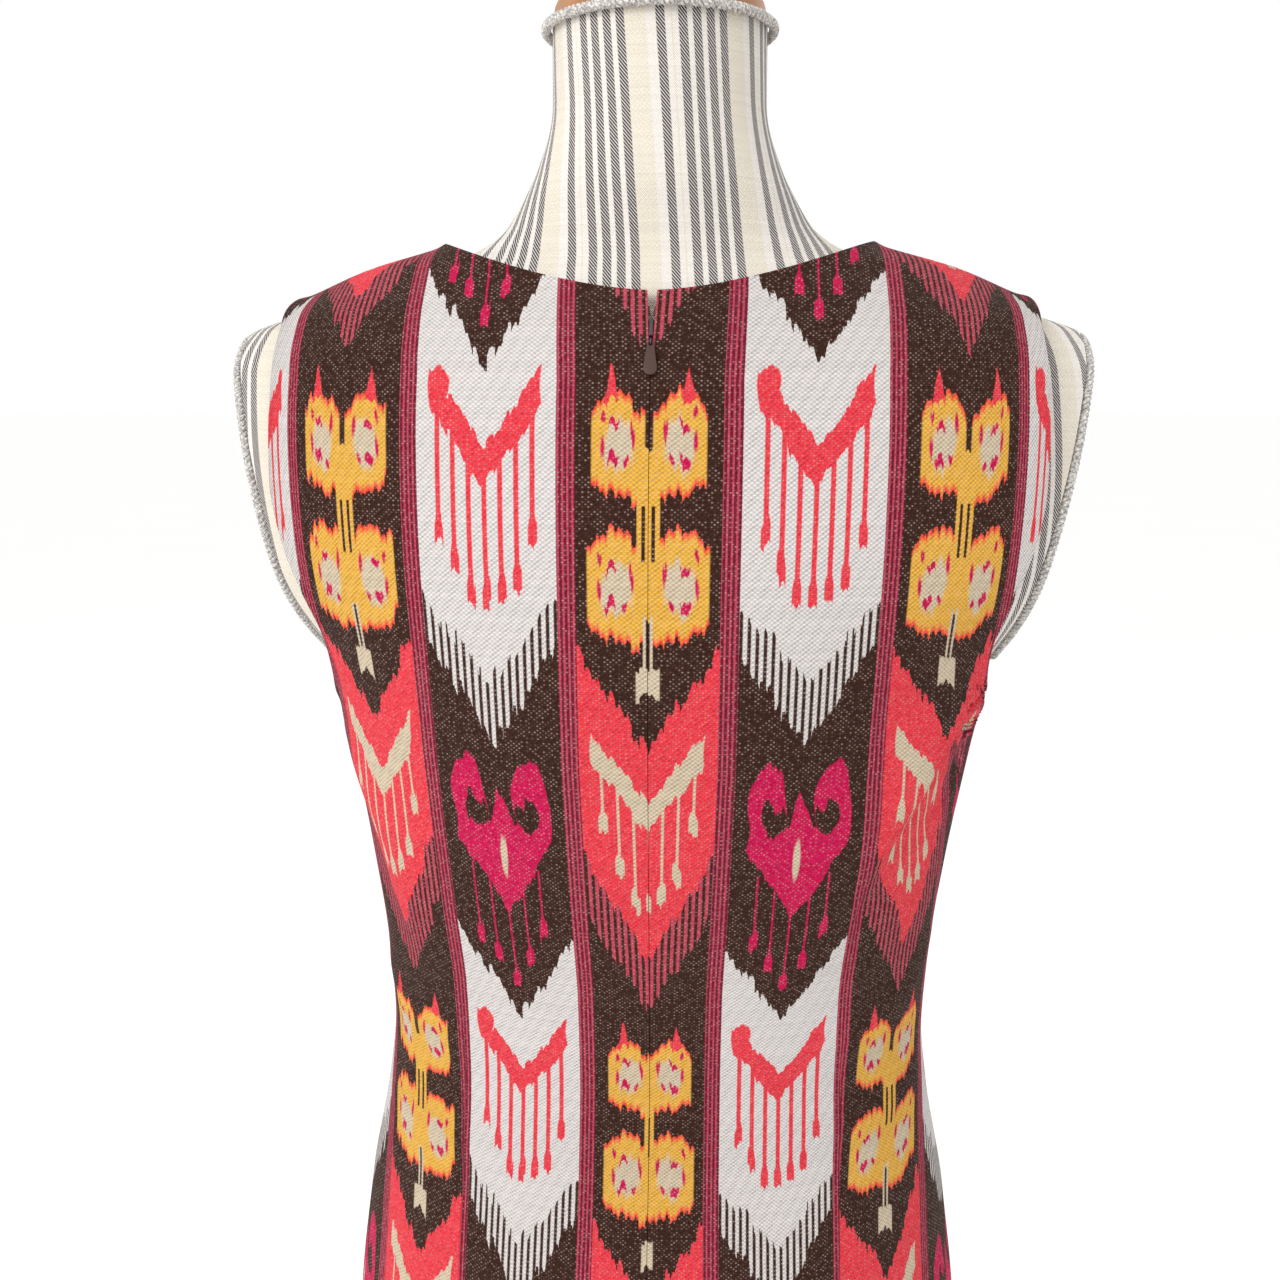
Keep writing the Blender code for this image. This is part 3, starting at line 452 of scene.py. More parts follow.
def outward_at(side, x, depth, height):
    """The cloth's outward direction, from the slope of the section's own equation."""

    def level(x_at, depth_at_point, height_at):
        roundness = lookup(SECTIONS, "roundness", height_at)
        section_depth = lookup(SECTIONS, side, height_at)
        if side == "front":
            section_depth = section_depth + bust_rise(x_at, height_at)
        across = (np.abs(x_at) / lookup(SECTIONS, "half_width", height_at)) ** roundness
        return across + (np.abs(depth_at_point) / section_depth) ** roundness

    step = 1e-5
    slope = np.stack(
        [
            level(x + step, depth, height) - level(x - step, depth, height),
            level(x, depth + step, height) - level(x, depth - step, height),
            level(x, depth, height + step) - level(x, depth, height - step),
        ],
        axis=-1,
    )
    slope[..., 1] = np.where(depth < 2 * step, 0.0, slope[..., 1])
    return slope / np.linalg.norm(slope, axis=-1, keepdims=True)


def travelled_along(*coordinates):
    """Distance travelled along a line of points, starting at 0."""
    step = np.sqrt(sum(np.diff(values) ** 2 for values in coordinates))
    return np.concatenate([[0.0], np.cumsum(step)])


def run_heights(start, runs):
    """Heights of the rows from start up through each run."""
    heights = [start]
    for run in runs:
        foot = heights[-1]
        heights += [foot + (run.top - foot) * row / run.rows for row in range(1, run.rows + 1)]
    return np.array(heights)


def side_arc(side, height, fractions):
    """Half-widths at equal parts of the way round from the centre to the side seam."""
    turn = np.linspace(0.0, math.pi / 2, CURVE_SAMPLES)
    roundness = lookup(SECTIONS, "roundness", height)
    x = lookup(SECTIONS, "half_width", height) * np.sin(turn) ** (2.0 / roundness)
    travelled = travelled_along(x, depth_at(side, x, height))
    return np.interp(fractions, travelled / travelled[-1], x)


def neckline_height(side, x):
    """Height of the front or back neckline at these half-widths."""
    part = np.clip(x / NECK_HALF_WIDTH, 0.0, 1.0)
    if side == "back":
        return NECK_POINT - BACK_NECK_DROP * (1.0 - part**BACK_NECK_CURVE)
    return NECK_POINT - FRONT_NECK_DROP * (1.0 - part**FRONT_NECK_CURVE) ** FRONT_NECK_SCOOP


def shoulder_seam_height(x):
    """Height of the shoulder seam at these half-widths."""
    heights = np.linspace(SHOULDER_TIP, NECK_POINT, CURVE_SAMPLES)
    return np.interp(x, lookup(SECTIONS, "half_width", heights)[::-1], heights[::-1])


def top_edge(side, column):
    """(x, height) where this column of the cloth ends: on the neckline or on the shoulder seam."""
    grid = PANEL_GRIDS[side]
    if column <= grid.neck_columns:
        line_x = NECK_HALF_WIDTH * np.sin(np.linspace(0.0, math.pi / 2, CURVE_SAMPLES))
        line_height = neckline_height(side, line_x)
        line_depth = depth_at(side, line_x, line_height)
        line_depth[-1] = 0.0
        travelled = travelled_along(line_x, line_height, line_depth)
        x = float(np.interp(column / grid.neck_columns, travelled / travelled[-1], line_x))
        return x, float(neckline_height(side, x))
    part = (column - grid.neck_columns) / (grid.columns - grid.neck_columns)
    x = NECK_HALF_WIDTH + (SHOULDER_HALF_WIDTH - NECK_HALF_WIDTH) * part
    return x, float(shoulder_seam_height(x))


def bodice_column(side, column, underarm_x):
    """(x, height) down one column from the top edge to the underarm line, evenly along the cloth."""
    grid = PANEL_GRIDS[side]
    part = column / grid.columns
    top_x, top_height = top_edge(side, column)
    t = np.linspace(0.0, 1.0, CURVE_SAMPLES) ** 1.5
    height = UNDERARM + (top_height - UNDERARM) * t
    arm_x = lookup(ARMHOLE, side, UNDERARM + (SHOULDER_TIP - UNDERARM) * t)
    straight = (1 - t) * lookup(SECTIONS, "half_width", UNDERARM) + t * SHOULDER_HALF_WIDTH
    x = (1 - t) * underarm_x + t * top_x + part * (arm_x - straight)
    depth = depth_at(side, x, height)
    depth[-1] = depth[-1] if column < grid.neck_columns else 0.0
    travelled = travelled_along(x, depth, height)
    # The rows close up at both ends, where the armhole and the shoulder curve most.
    even = np.linspace(0.0, 1.0, BODICE_ROWS + 1)
    wanted = (even - 0.5 * np.sin(2 * math.pi * even) / (2 * math.pi)) * travelled[-1]
    return np.interp(wanted, travelled, x), np.interp(wanted, travelled, height)


def half_sheet(side):
    """x, depth and height of the outer face of half a front or back, as [row][column] arrays."""
    grid = PANEL_GRIDS[side]
    parts = np.arange(grid.columns + 1) / grid.columns
    skirt_heights = run_heights(HEM, SKIRT_ROWS)
    x = np.array([side_arc(side, height, parts) for height in skirt_heights])
    height = np.repeat(skirt_heights[:, None], grid.columns + 1, axis=1)
    columns = [bodice_column(side, column, x[-1, column]) for column in range(grid.columns + 1)]
    x = np.concatenate([x, np.array([pair[0] for pair in columns]).T[1:]])
    height = np.concatenate([height, np.array([pair[1] for pair in columns]).T[1:]])
    depth = depth_at(side, x, height)
    depth[: len(skirt_heights), -1] = 0.0
    depth[-1, grid.neck_columns :] = 0.0
    return x, depth, height


def zip_half_gap(height):
    """Half the gap between the centre-back edges: a seam below, a small V at the top."""
    opened = np.clip((height - ZIP_OPEN_FROM) / (NECK_POINT - BACK_NECK_DROP - ZIP_OPEN_FROM), 0, 1)
    return SEAM_GAP / 2 + ZIP_OPEN_HALF_WIDTH * opened


def round_section(side, x, height, samples=64):
    """Distance round the horizontal section from the centre plane to x."""
    x, height = np.broadcast_arrays(np.asarray(x, float), np.asarray(height, float))
    roundness = lookup(SECTIONS, "roundness", height)
    half_width = lookup(SECTIONS, "half_width", height)
    turn = np.arcsin(np.clip(np.abs(x) / half_width, 0.0, 1.0) ** (roundness / 2.0))
    steps = turn[..., None] * np.linspace(0.0, 1.0, samples)
    across = half_width[..., None] * np.sin(steps) ** (2.0 / roundness[..., None])
    depth = depth_at(side, across, np.broadcast_to(height[..., None], across.shape))
    return np.hypot(np.diff(across), np.diff(depth)).sum(axis=-1)


def down_cloth(side, x, height, samples=48):
    """Distance down the cloth from the top of the pattern; negative above it."""
    levels = np.linspace(HEM, PATTERN_TOP, 500)
    travelled = travelled_along(levels, depth_at(side, np.full_like(levels, GRAIN_X), levels))
    below = travelled[-1] - np.interp(height, levels, travelled)
    top = np.maximum(height, PATTERN_TOP)
    part = 1.0 - (1.0 - np.linspace(0.0, 1.0, samples)) ** 2
    steps = PATTERN_TOP + (top[..., None] - PATTERN_TOP) * part
    depths = depth_at(side, np.broadcast_to(x[..., None], steps.shape), steps)
    return below - np.hypot(np.diff(steps), np.diff(depths)).sum(axis=-1)


def nearest_distance(points, line):
    """Distance from every point to the nearest point of a line."""
    nearest = np.full(points.shape[:-1], np.inf)
    for place in line:
        nearest = np.minimum(nearest, np.linalg.norm(points - place, axis=-1))
    return nearest


def crease_offsets(side, panel, across, height):
    """How far creases lift the cloth and lean it away from the centre, and the cloth they hide."""
    lift = np.zeros_like(across)
    lean = np.zeros_like(across)
    tucked = np.zeros_like(across)
    fine = np.linspace(0.0, 1.0, 60)
    for crease in CREASES:
        if crease.panel != panel:
            continue
        path = np.array(crease.path)
        own = np.linspace(0.0, 1.0, len(path))
        line_height = smooth_lookup(own, path[:, 1], fine)
        line_across = round_section(side, smooth_lookup(own, path[:, 0], fine), line_height)
        apart_across = across[..., None] - line_across
        apart = np.hypot(apart_across, height[..., None] - line_height)
        nearest = apart.argmin(axis=-1)[..., None]
        aside = np.take_along_axis(apart, nearest, -1)[..., 0]
        outside = np.take_along_axis(apart_across, nearest, -1)[..., 0] > 0
        width = np.where(outside, crease.outer, crease.inner)
        # Each crease swells slowly from its upper end and fades out at its lower one.
        run = fine[nearest[..., 0]]
        swell = np.sin(math.pi * (CREASE_START + CREASE_RUN * run)) ** CREASE_FULLNESS
        rise = crease.rise * swell * np.exp(-((aside / width) ** 2))
        lift += rise
        lean += crease.lean * np.abs(rise)
        # What is folded under a crease grows from its upper end and runs out at its lower one.
        beyond = np.clip(np.where(outside, aside, 0.0) / TUCK_REACH, 0.0, 1.0)
        tucked += crease.tuck * beyond * np.clip(run / TUCK_START, 0.0, 1.0) * (1.0 - run**2)
    return lift, lean, tucked


def half_panel(side, hand):
    """Outer points, outward directions and cloth attributes of half a front or back."""
    grid = PANEL_GRIDS[side]
    part = np.arange(grid.columns + 1) / grid.columns
    x, depth, height = half_sheet(side)
    outward = outward_at(side, x, depth, height)
    arc = round_section(side, x, height)
    # Below the underarm the grain follows the section round; above it the warp hangs straight.
    across = np.where(height > GRAIN_HEIGHT, round_section(side, x, GRAIN_HEIGHT), arc)
    across = across * (1.0 - lookup(SHAPING, "stretched", height))
    down = down_cloth(side, x, height) + lookup(SHAPING, "eased", height)
    from_dart = x - DART_X[side]
    if side == "back":
        across = across + lookup(SHAPING, "centre_seam", height)
        x = x + zip_half_gap(height) * (1.0 - part)
    facing = 1.0 if side == "back" else -1.0
    points = np.stack([hand * x, facing * (depth + SEAM_GAP / 2), height], axis=-1)
    outward = outward * np.array([hand, facing, 1.0])

    underarm_row = sum(run.rows for run in SKIRT_ROWS)
    openings = [points[-1, : grid.neck_columns + 1], points[underarm_row:, -1]]
    seams = [points[:underarm_row, -1], points[-1, grid.neck_columns :]]
    from_opening = nearest_distance(points, np.concatenate(openings))
    from_edge = np.minimum(from_opening, height - HEM)
    from_seam = nearest_distance(points, np.concatenate(seams))

    panel = f"{side}_{'left' if hand > 0 else 'right'}"
    lift, lean, tucked = crease_offsets(side, panel, arc, height)
    across = across + tucked
    sideways = np.cross(outward, [0.0, 0.0, 1.0])
    sideways = sideways * np.where(sideways[..., :1] * hand < 0, -1.0, 1.0)
    # Creases fade to nothing at the seams, so that the panels still meet.
    hold = np.clip((1.0 - part) * SIDE_HOLD, 0.0, 1.0) * np.clip(part * CENTRE_HOLD, 0.0, 1.0)
    strength = bpy.context.scene.dress_sizes.crease_strength * hold[:, None]
    points = points + strength * (outward * lift[..., None] + sideways * lean[..., None])
    # The neckline and the armholes roll outward a little over their turned-in edges.
    roll = EDGE_ROLL * np.exp(-((from_opening / EDGE_ROLL_WIDTH) ** 2))
    points = points + outward * roll[..., None]

    # Seen from outside, the pattern runs to the right across the cloth.
    rightward = -hand * facing
    bust_take = np.zeros_like(across)
    from_bust = np.ones_like(across)
    if side == "front":
        from_bust = BUST_DART_HEIGHT - height
        reach = lookup(SECTIONS, "half_width", BUST_DART_HEIGHT) - BUST_DART_TIP_X
        bust_take = BUST_DART_TAKE * np.clip((x - BUST_DART_TIP_X) / reach, 0.0, 1.0)
    attributes = {
        "cloth_place": np.stack(
            [rightward * across, down, rightward * lookup(SHAPING, f"{side}_dart", height)], axis=-1
        ),
        "cloth_darts": np.stack([from_dart, from_bust, bust_take], axis=-1),
        "cloth_edges": np.stack([from_edge, from_seam, np.zeros_like(height)], axis=-1),
    }
    return points, outward, attributes


def form_points(turn, height):
    """Points of the form's surface at these angles round it, measured from the wearer's left."""
    inset = lookup(INSETS, "depth", height)
    level = np.minimum(height + inset, NECK_TOP)
    half_width = lookup(SECTIONS, "half_width", level) - inset
    roundness = lookup(SECTIONS, "roundness", level)
    across = np.abs(np.cos(turn)) ** (2.0 / roundness)
    along = np.abs(np.sin(turn)) ** (2.0 / roundness)
    behind = np.sin(turn) >= 0
    reach = np.where(behind, lookup(SECTIONS, "back", level), lookup(SECTIONS, "front", level)) - inset
    bust = np.where(behind, 0.0, bust_rise(across * (half_width + inset), level))
    return np.stack(
        [
            np.sign(np.cos(turn)) * across * half_width,
            np.sign(np.sin(turn)) * (reach + bust) * along,
            height,
        ],
        axis=-1,
    )


def arm_cut_half_width(height):
    """Half-width of the flat arm end at this height: it leans in towards its foot."""
    return ARM_CUT_HALF_WIDTH + ARM_CUT_SLOPE * (height - ARM_CUT_HEIGHT)


def arm_frame(hand):
    """Matrix of the flat arm end: X front to back, Y up along it, Z out of it."""
    upward = Vector((hand * ARM_CUT_SLOPE, 0.0, 1.0)).normalized()
    out = Vector((hand, 0.0, -ARM_CUT_SLOPE)).normalized()
    backward = upward.cross(out)
    place = Vector((hand * ARM_CUT_HALF_WIDTH, 0.0, ARM_CUT_HEIGHT))
    return Matrix.Translation(place) @ Matrix((backward, upward, out)).transposed().to_4x4()


def arm_outline(inset):
    """Points round the flat arm end in its own frame, drawn in by inset."""
    levels = np.linspace(ARM_CUT_BOTTOM, NECK_POINT, 3 * CURVE_SAMPLES)
    widths = form_points(np.zeros_like(levels), levels)[:, 0]
    inside = levels[widths > arm_cut_half_width(levels)]
    middle, reach = (inside[0] + inside[-1]) / 2, (inside[-1] - inside[0]) / 2
    along = math.hypot(1.0, ARM_CUT_SLOPE)
    turn = 2 * math.pi * np.arange(OUTLINE_POINTS) / OUTLINE_POINTS
    height = middle + reach * np.sin(turn)
    quarter = form_points(np.sign(np.cos(turn)) * math.pi / 2, height)[:, 1]
    roundness = lookup(SECTIONS, "roundness", height + lookup(INSETS, "depth", height))
    side_width = form_points(np.zeros_like(height), height)[:, 0]
    ratio = np.minimum(arm_cut_half_width(height) / side_width, 1.0)
    depth = quarter * (1.0 - ratio**roundness) ** (1.0 / roundness)
    up = (height - ARM_CUT_HEIGHT) * along
    centre = (middle - ARM_CUT_HEIGHT) * along
    depth = depth * (1.0 - inset / np.abs(depth).max())
    up = centre + (up - centre) * (1.0 - inset / (reach * along))
    return np.stack([depth, up], axis=-1)


def seam_frame(height):
    """Matrix at the centre-back seam: X across, Y out of the cloth, Z up along it."""
    x = np.array([0.0])
    level = np.array([height])
    depth = depth_at("back", x, level)
    out = Vector(outward_at("back", x, depth, level)[0])
    across = Vector((1.0, 0.0, 0.0))
    upward = across.cross(out)
    place = Vector((0.0, float(depth[0]) + SEAM_GAP / 2, height))
    return Matrix.Translation(place) @ Matrix((across, out, upward)).transposed().to_4x4()


# ------------------------------------------------------------------ meshes


def finished_mesh(bm, name, sharp_angle=40.0):
    """A smooth-shaded mesh with sharp edges past this angle, from a bmesh, which is freed."""
    bmesh.ops.recalc_face_normals(bm, faces=bm.faces)
    mesh = bpy.data.meshes.new(name)
    bm.to_mesh(mesh)
    bm.free()
    mesh.shade_smooth()
    mesh.set_sharp_from_angle(angle=math.radians(sharp_angle))
    return mesh


def put_on(name, mesh, material, body="root", replaces=()):
    """A new piece of the object: its finish, the body it rides on and the solids it stands for."""
    mesh.materials.clear()
    mesh.materials.append(material)
    piece = bpy.data.objects.new(name, mesh)
    bpy.context.scene.collection.objects.link(piece)
    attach(piece, body)
    if replaces:
        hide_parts(*replaces)
    return piece


def bake_modifiers(piece):
    """The piece's own mesh, as its modifiers leave it."""
    graph = bpy.context.evaluated_depsgraph_get()
    mesh = bpy.data.meshes.new_from_object(piece.evaluated_get(graph))
    piece.modifiers.clear()
    piece.data = mesh


def cloth_wall(name, points, outward, thickness, attributes):
    """Mesh of a closed wall of cloth whose outer face lies on the points."""
    rows, columns = points.shape[:2]
    bm = bmesh.new()
    bmesh.ops.create_grid(bm, x_segments=columns - 1, y_segments=rows - 1, size=0.5)
    layers = {key: bm.verts.layers.float_vector.new(key) for key in attributes}
    inner = {}
    for vert in bm.verts:
        row = round((vert.co.y + 0.5) * (rows - 1))
        column = round((vert.co.x + 0.5) * (columns - 1))
        vert.co = points[row, column]
        inner[vert] = Vector(points[row, column] - thickness * outward[row, column])
        for key, layer in layers.items():
            vert[layer] = attributes[key][row, column]
    rim = [edge for edge in bm.edges if edge.is_boundary]
    copied = bmesh.ops.duplicate(bm, geom=bm.verts[:] + bm.edges[:] + bm.faces[:])
    twin = copied["vert_map"]
    copied_faces = [item for item in copied["geom"] if isinstance(item, bmesh.types.BMFace)]
    bmesh.ops.reverse_faces(bm, faces=copied_faces)
    for vert, place in inner.items():
        twin[vert].co = place
    for edge in rim:
        first, second = edge.verts
        bm.faces.new((first, second, twin[second], twin[first]))
    return finished_mesh(bm, name)


def tube(path, guide, radius, sides, closed=False):
    """bmesh of a tube along path; guide gives a direction beside it at each point."""
    path = np.asarray(path, float)
    guide = np.broadcast_to(np.asarray(guide, float), path.shape)
    ahead = np.roll(path, -1, 0) if closed else np.vstack([path[1:], path[-1:]])
    behind = np.roll(path, 1, 0) if closed else np.vstack([path[:1], path[:-1]])
    tangent = ahead - behind
    tangent = tangent / np.linalg.norm(tangent, axis=1, keepdims=True)
    side = guide - tangent * (guide * tangent).sum(axis=1, keepdims=True)
    side = side / np.linalg.norm(side, axis=1, keepdims=True)
    up = np.cross(tangent, side)
    turn = 2 * math.pi * np.arange(sides) / sides
    spokes = np.cos(turn)[:, None] * side[:, None] + np.sin(turn)[:, None] * up[:, None]
    bm = bmesh.new()
    rings = [[bm.verts.new(place) for place in ring] for ring in path[:, None] + radius * spokes]
    pairs = list(zip(rings, rings[1:]))
    if closed:
        pairs.append((rings[-1], rings[0]))
    for first, second in pairs:
        for corner in range(sides):
            after = (corner + 1) % sides
            bm.faces.new((first[corner], first[after], second[after], second[corner]))
    if not closed:
        bm.faces.new(rings[0][::-1])
        bm.faces.new(rings[-1])
    return bm


def joined(name, parts):
    """One mesh from several bmeshes, which are freed."""
    whole = bmesh.new()
    for part in parts:
        mesh = finished_mesh(part, "part")
        whole.from_mesh(mesh)
        bpy.data.meshes.remove(mesh)
    return finished_mesh(whole, name)


def twisted_cord(name, path, normal):
    """Mesh of strands laid round each other along a closed flat path with this normal."""
    path = np.asarray(path, float)
    ring = np.vstack([path, path[:1]])
    travelled = travelled_along(*ring.T)
    twists = round(travelled[-1] / STRAND_PITCH)
    count = twists * POINTS_PER_TWIST
    run = travelled[-1] * np.arange(count) / count
    core = np.stack([np.interp(run, travelled, values) for values in ring.T], axis=-1)
    tangent = np.roll(core, -1, 0) - np.roll(core, 1, 0)
    tangent = tangent / np.linalg.norm(tangent, axis=1, keepdims=True)
    normal = np.broadcast_to(np.asarray(normal, float), core.shape)
    beside = np.cross(tangent, normal)
    strands = []
    for strand in range(STRANDS):
        turn = 2 * math.pi * (np.arange(count) / POINTS_PER_TWIST + strand / STRANDS)
        away = np.cos(turn)[:, None] * normal + np.sin(turn)[:, None] * beside
        line = core + STRAND_OFFSET * away
        strands.append(tube(line, away, STRAND_RADIUS, STRAND_SIDES, closed=True))
    return joined(name, strands)


def turned(name, profile, stretch=(1.0, 1.0)):
    """Mesh of a turned piece: a profile of (radius, height) from its top down its outer side."""
    bm = bmesh.new()
    verts = [bm.verts.new((radius, 0.0, height)) for radius, height in profile]
    for first, second in zip(verts, verts[1:]):
        bm.edges.new((first, second))
    bmesh.ops.spin(
        bm,
        geom=bm.verts[:] + bm.edges[:],
        cent=(0.0, 0.0, 0.0),
        axis=(0.0, 0.0, 1.0),
        angle=2 * math.pi,
        steps=TURNING_STEPS,
        use_merge=True,
    )
    bmesh.ops.remove_doubles(bm, verts=bm.verts, dist=1e-6)
    bmesh.ops.scale(bm, vec=(*stretch, 1.0), verts=bm.verts)
    return finished_mesh(bm, name, sharp_angle=32.0)


def rounded(radius, height, centre_radius, start, end, count=9):
    """Profile points of a quarter-round moulding, angles in degrees from outward to up."""
    return [
        (
            centre_radius + radius * math.cos(math.radians(angle)),
            height + radius * math.sin(math.radians(angle)),
        )
        for angle in np.linspace(start, end, count)
    ]


def arc_points(centre, radius, start, end, count):
    """Points of an arc in the XY plane, angles in degrees."""
    angles = np.radians(np.linspace(start, end, count))
    return [
        (centre[0] + radius * math.cos(angle), centre[1] + radius * math.sin(angle), 0.0)
        for angle in angles
    ]


# ------------------------------------------------------------------ finishes


def dye(code):
    """A colour from its six-figure screen code."""
    parts = [int(code[start : start + 2], 16) / 255 for start in (0, 2, 4)]
    return tuple(part / 12.92 if part <= 0.04045 else ((part + 0.055) / 1.055) ** 2.4 for part in parts)


class Signal:
    """A socket of a finish's nodes, used in plain arithmetic."""

    def __init__(self, finish, socket):
        self.finish = finish
        self.socket = socket

    def math(self, operation, first, second=0.0, clamp=False):
        settings = {"operation": operation, "use_clamp": clamp}
        return self.finish.node("ShaderNodeMath", settings, {0: first, 1: second})

    def __add__(self, other):
        return self.math("ADD", self, other)

    def __sub__(self, other):
        return self.math("SUBTRACT", self, other)

    def __rsub__(self, other):
        return self.math("SUBTRACT", other, self)

    def __mul__(self, other):
        return self.math("MULTIPLY", self, other)

    def __truediv__(self, other):
        return self.math("DIVIDE", self, other)

    def __rtruediv__(self, other):
        return self.math("DIVIDE", other, self)

    def __gt__(self, other):
        return self.math("GREATER_THAN", self, other)

    def __lt__(self, other):
        return self.math("LESS_THAN", self, other)

    def __abs__(self):
        return self.math("ABSOLUTE", self)

    __radd__ = __add__
    __rmul__ = __mul__

    def floor(self):
        return self.math("FLOOR", self)

    def nearest(self):
        return self.math("ROUND", self)

    def sine(self):
        return self.math("SINE", self)

    def root(self):
        return self.math("SQRT", self)

    def least(self, other):
        return self.math("MINIMUM", self, other)

    def most(self, other):
        return self.math("MAXIMUM", self, other)

    def clipped(self):
        return self.math("ADD", self, 0.0, clamp=True)

    def output(self, name):
        """Another output of the same node."""
        return Signal(self.finish, self.socket.node.outputs[name])


class Finish:
    """One procedural material."""

    def __init__(self, name, roughness, metallic=0.0, sheen=0.0, specular=0.5):
        self.material = bpy.data.materials.new(name)
        self.material.use_nodes = True
        self.tree = self.material.node_tree
        self.shader = self.tree.nodes["Principled BSDF"]
        self.shader.inputs["Roughness"].default_value = roughness
        self.shader.inputs["Metallic"].default_value = metallic
        self.shader.inputs["Specular IOR Level"].default_value = specular
        self.shader.inputs["Sheen Weight"].default_value = sheen
        self.shader.inputs["Sheen Roughness"].default_value = 0.5

    def node(self, kind, settings=None, inputs=None, output=0):
        """A node of this kind: its settings, then the values or links of its sockets."""
        node = self.tree.nodes.new(kind)
        for key, value in (settings or {}).items():
            setattr(node, key, value)
        for key, value in (inputs or {}).items():
            self.feed(node.inputs[key], value)
        return Signal(self, node.outputs[output])

    def feed(self, socket, value):
        """Link a signal to this socket, or set the socket's own value."""
        if isinstance(value, Signal):
            self.tree.links.new(value.socket, socket)
        else:
            socket.default_value = value

    def split(self, attribute):
        """The three numbers of a mesh attribute, in millimetres."""
        vector = self.node("ShaderNodeAttribute", {"attribute_name": attribute}, output="Vector")
        parts = self.node("ShaderNodeSeparateXYZ", {}, {0: vector})
        return [parts.output(axis) * MM for axis in "XYZ"]

    def mixed(self, factor, first, second, blend="MIX"):
        """Two colours mixed; each is a signal or a plain colour."""
        colours = [value if isinstance(value, Signal) else (*value, 1.0) for value in (first, second)]
        settings = {"data_type": "RGBA", "blend_type": blend}
        return self.node("ShaderNodeMix", settings, {0: factor, 6: colours[0], 7: colours[1]}, output=2)

    def shaded(self, colour, amount):
        """The colour made lighter or darker by a number round 1."""
        grey = self.node("ShaderNodeCombineColor", {}, {0: amount, 1: amount, 2: amount})
        return self.mixed(1.0, colour, grey, blend="MULTIPLY")

    def chance(self, first, second=0.0):
        """A random number from 0 to 1 for each pair of whole numbers."""
        pair = self.node("ShaderNodeCombineXYZ", {}, {0: first, 1: second})
        return self.node("ShaderNodeTexWhiteNoise", {"noise_dimensions": "2D"}, {"Vector": pair})

    def cloud(self, vector, scale, detail=3.0):
        """Soft noise round 0.5 at these places."""
        return self.node("ShaderNodeTexNoise", {}, {"Vector": vector, "Scale": scale, "Detail": detail})

    def object_place(self):
        """Places on the piece, in metres."""
        return self.node("ShaderNodeTexCoord", {}, output="Object")

    def bumped(self, height, distance):
        """Give the surface this relief, of this depth in metres."""
        inputs = {"Height": height, "Distance": distance}
        self.feed(self.shader.inputs["Normal"], self.node("ShaderNodeBump", {}, inputs))

    def coloured(self, colour, roughness=None):
        """The finished material, with this colour and roughness."""
        self.feed(self.shader.inputs["Base Color"], colour)
        if roughness is not None:
            self.feed(self.shader.inputs["Roughness"], roughness)
        return self.material


def inside(distance, soft=0.6):
    """1 well inside an edge and 0 outside it, from the signed distance in millimetres."""
    return (distance / soft + 0.5).clipped()


def chevron(u, v, shape):
    """A V across the column, whose inner point is this far down it."""
    under = v + shape.slope * abs(u) - shape.point
    return inside(under) * inside(shape.thickness - under) * inside(shape.half_width - abs(u))


def oval(u, v, shape, soft=0.6):
    """An ellipse at its place in the column."""
    aside = (u - shape.out) / shape.half_width
    along = (v - shape.down) / shape.half_height
    reach = 1.0 - (aside * aside + along * along).root()
    return inside(reach * min(shape.half_width, shape.half_height), soft)


def drips(finish, u, v, fray, bars):
    """Thin lines down the warp that end in long ragged drops; the outer ones end sooner."""
    index = ((u - bars.shift) / bars.pitch).nearest()
    aside = abs(u - bars.shift - index * bars.pitch)
    uneven = BAR_UNEVENNESS * finish.chance(index, 3.0 + bars.shift)
    finish_at = bars.end - bars.arch * index * index + uneven
    ragged = v + fray * LOBE_FRAY
    swell = ((ragged - finish_at + DROP_LENGTH) / 4.0).clipped()
    width = bars.line + bars.drop * swell
    kept = inside(bars.count + 0.5 - abs(index), 0.01)
    return inside(width - aside, 0.5) * inside(v - bars.start) * inside(finish_at - ragged) * kept


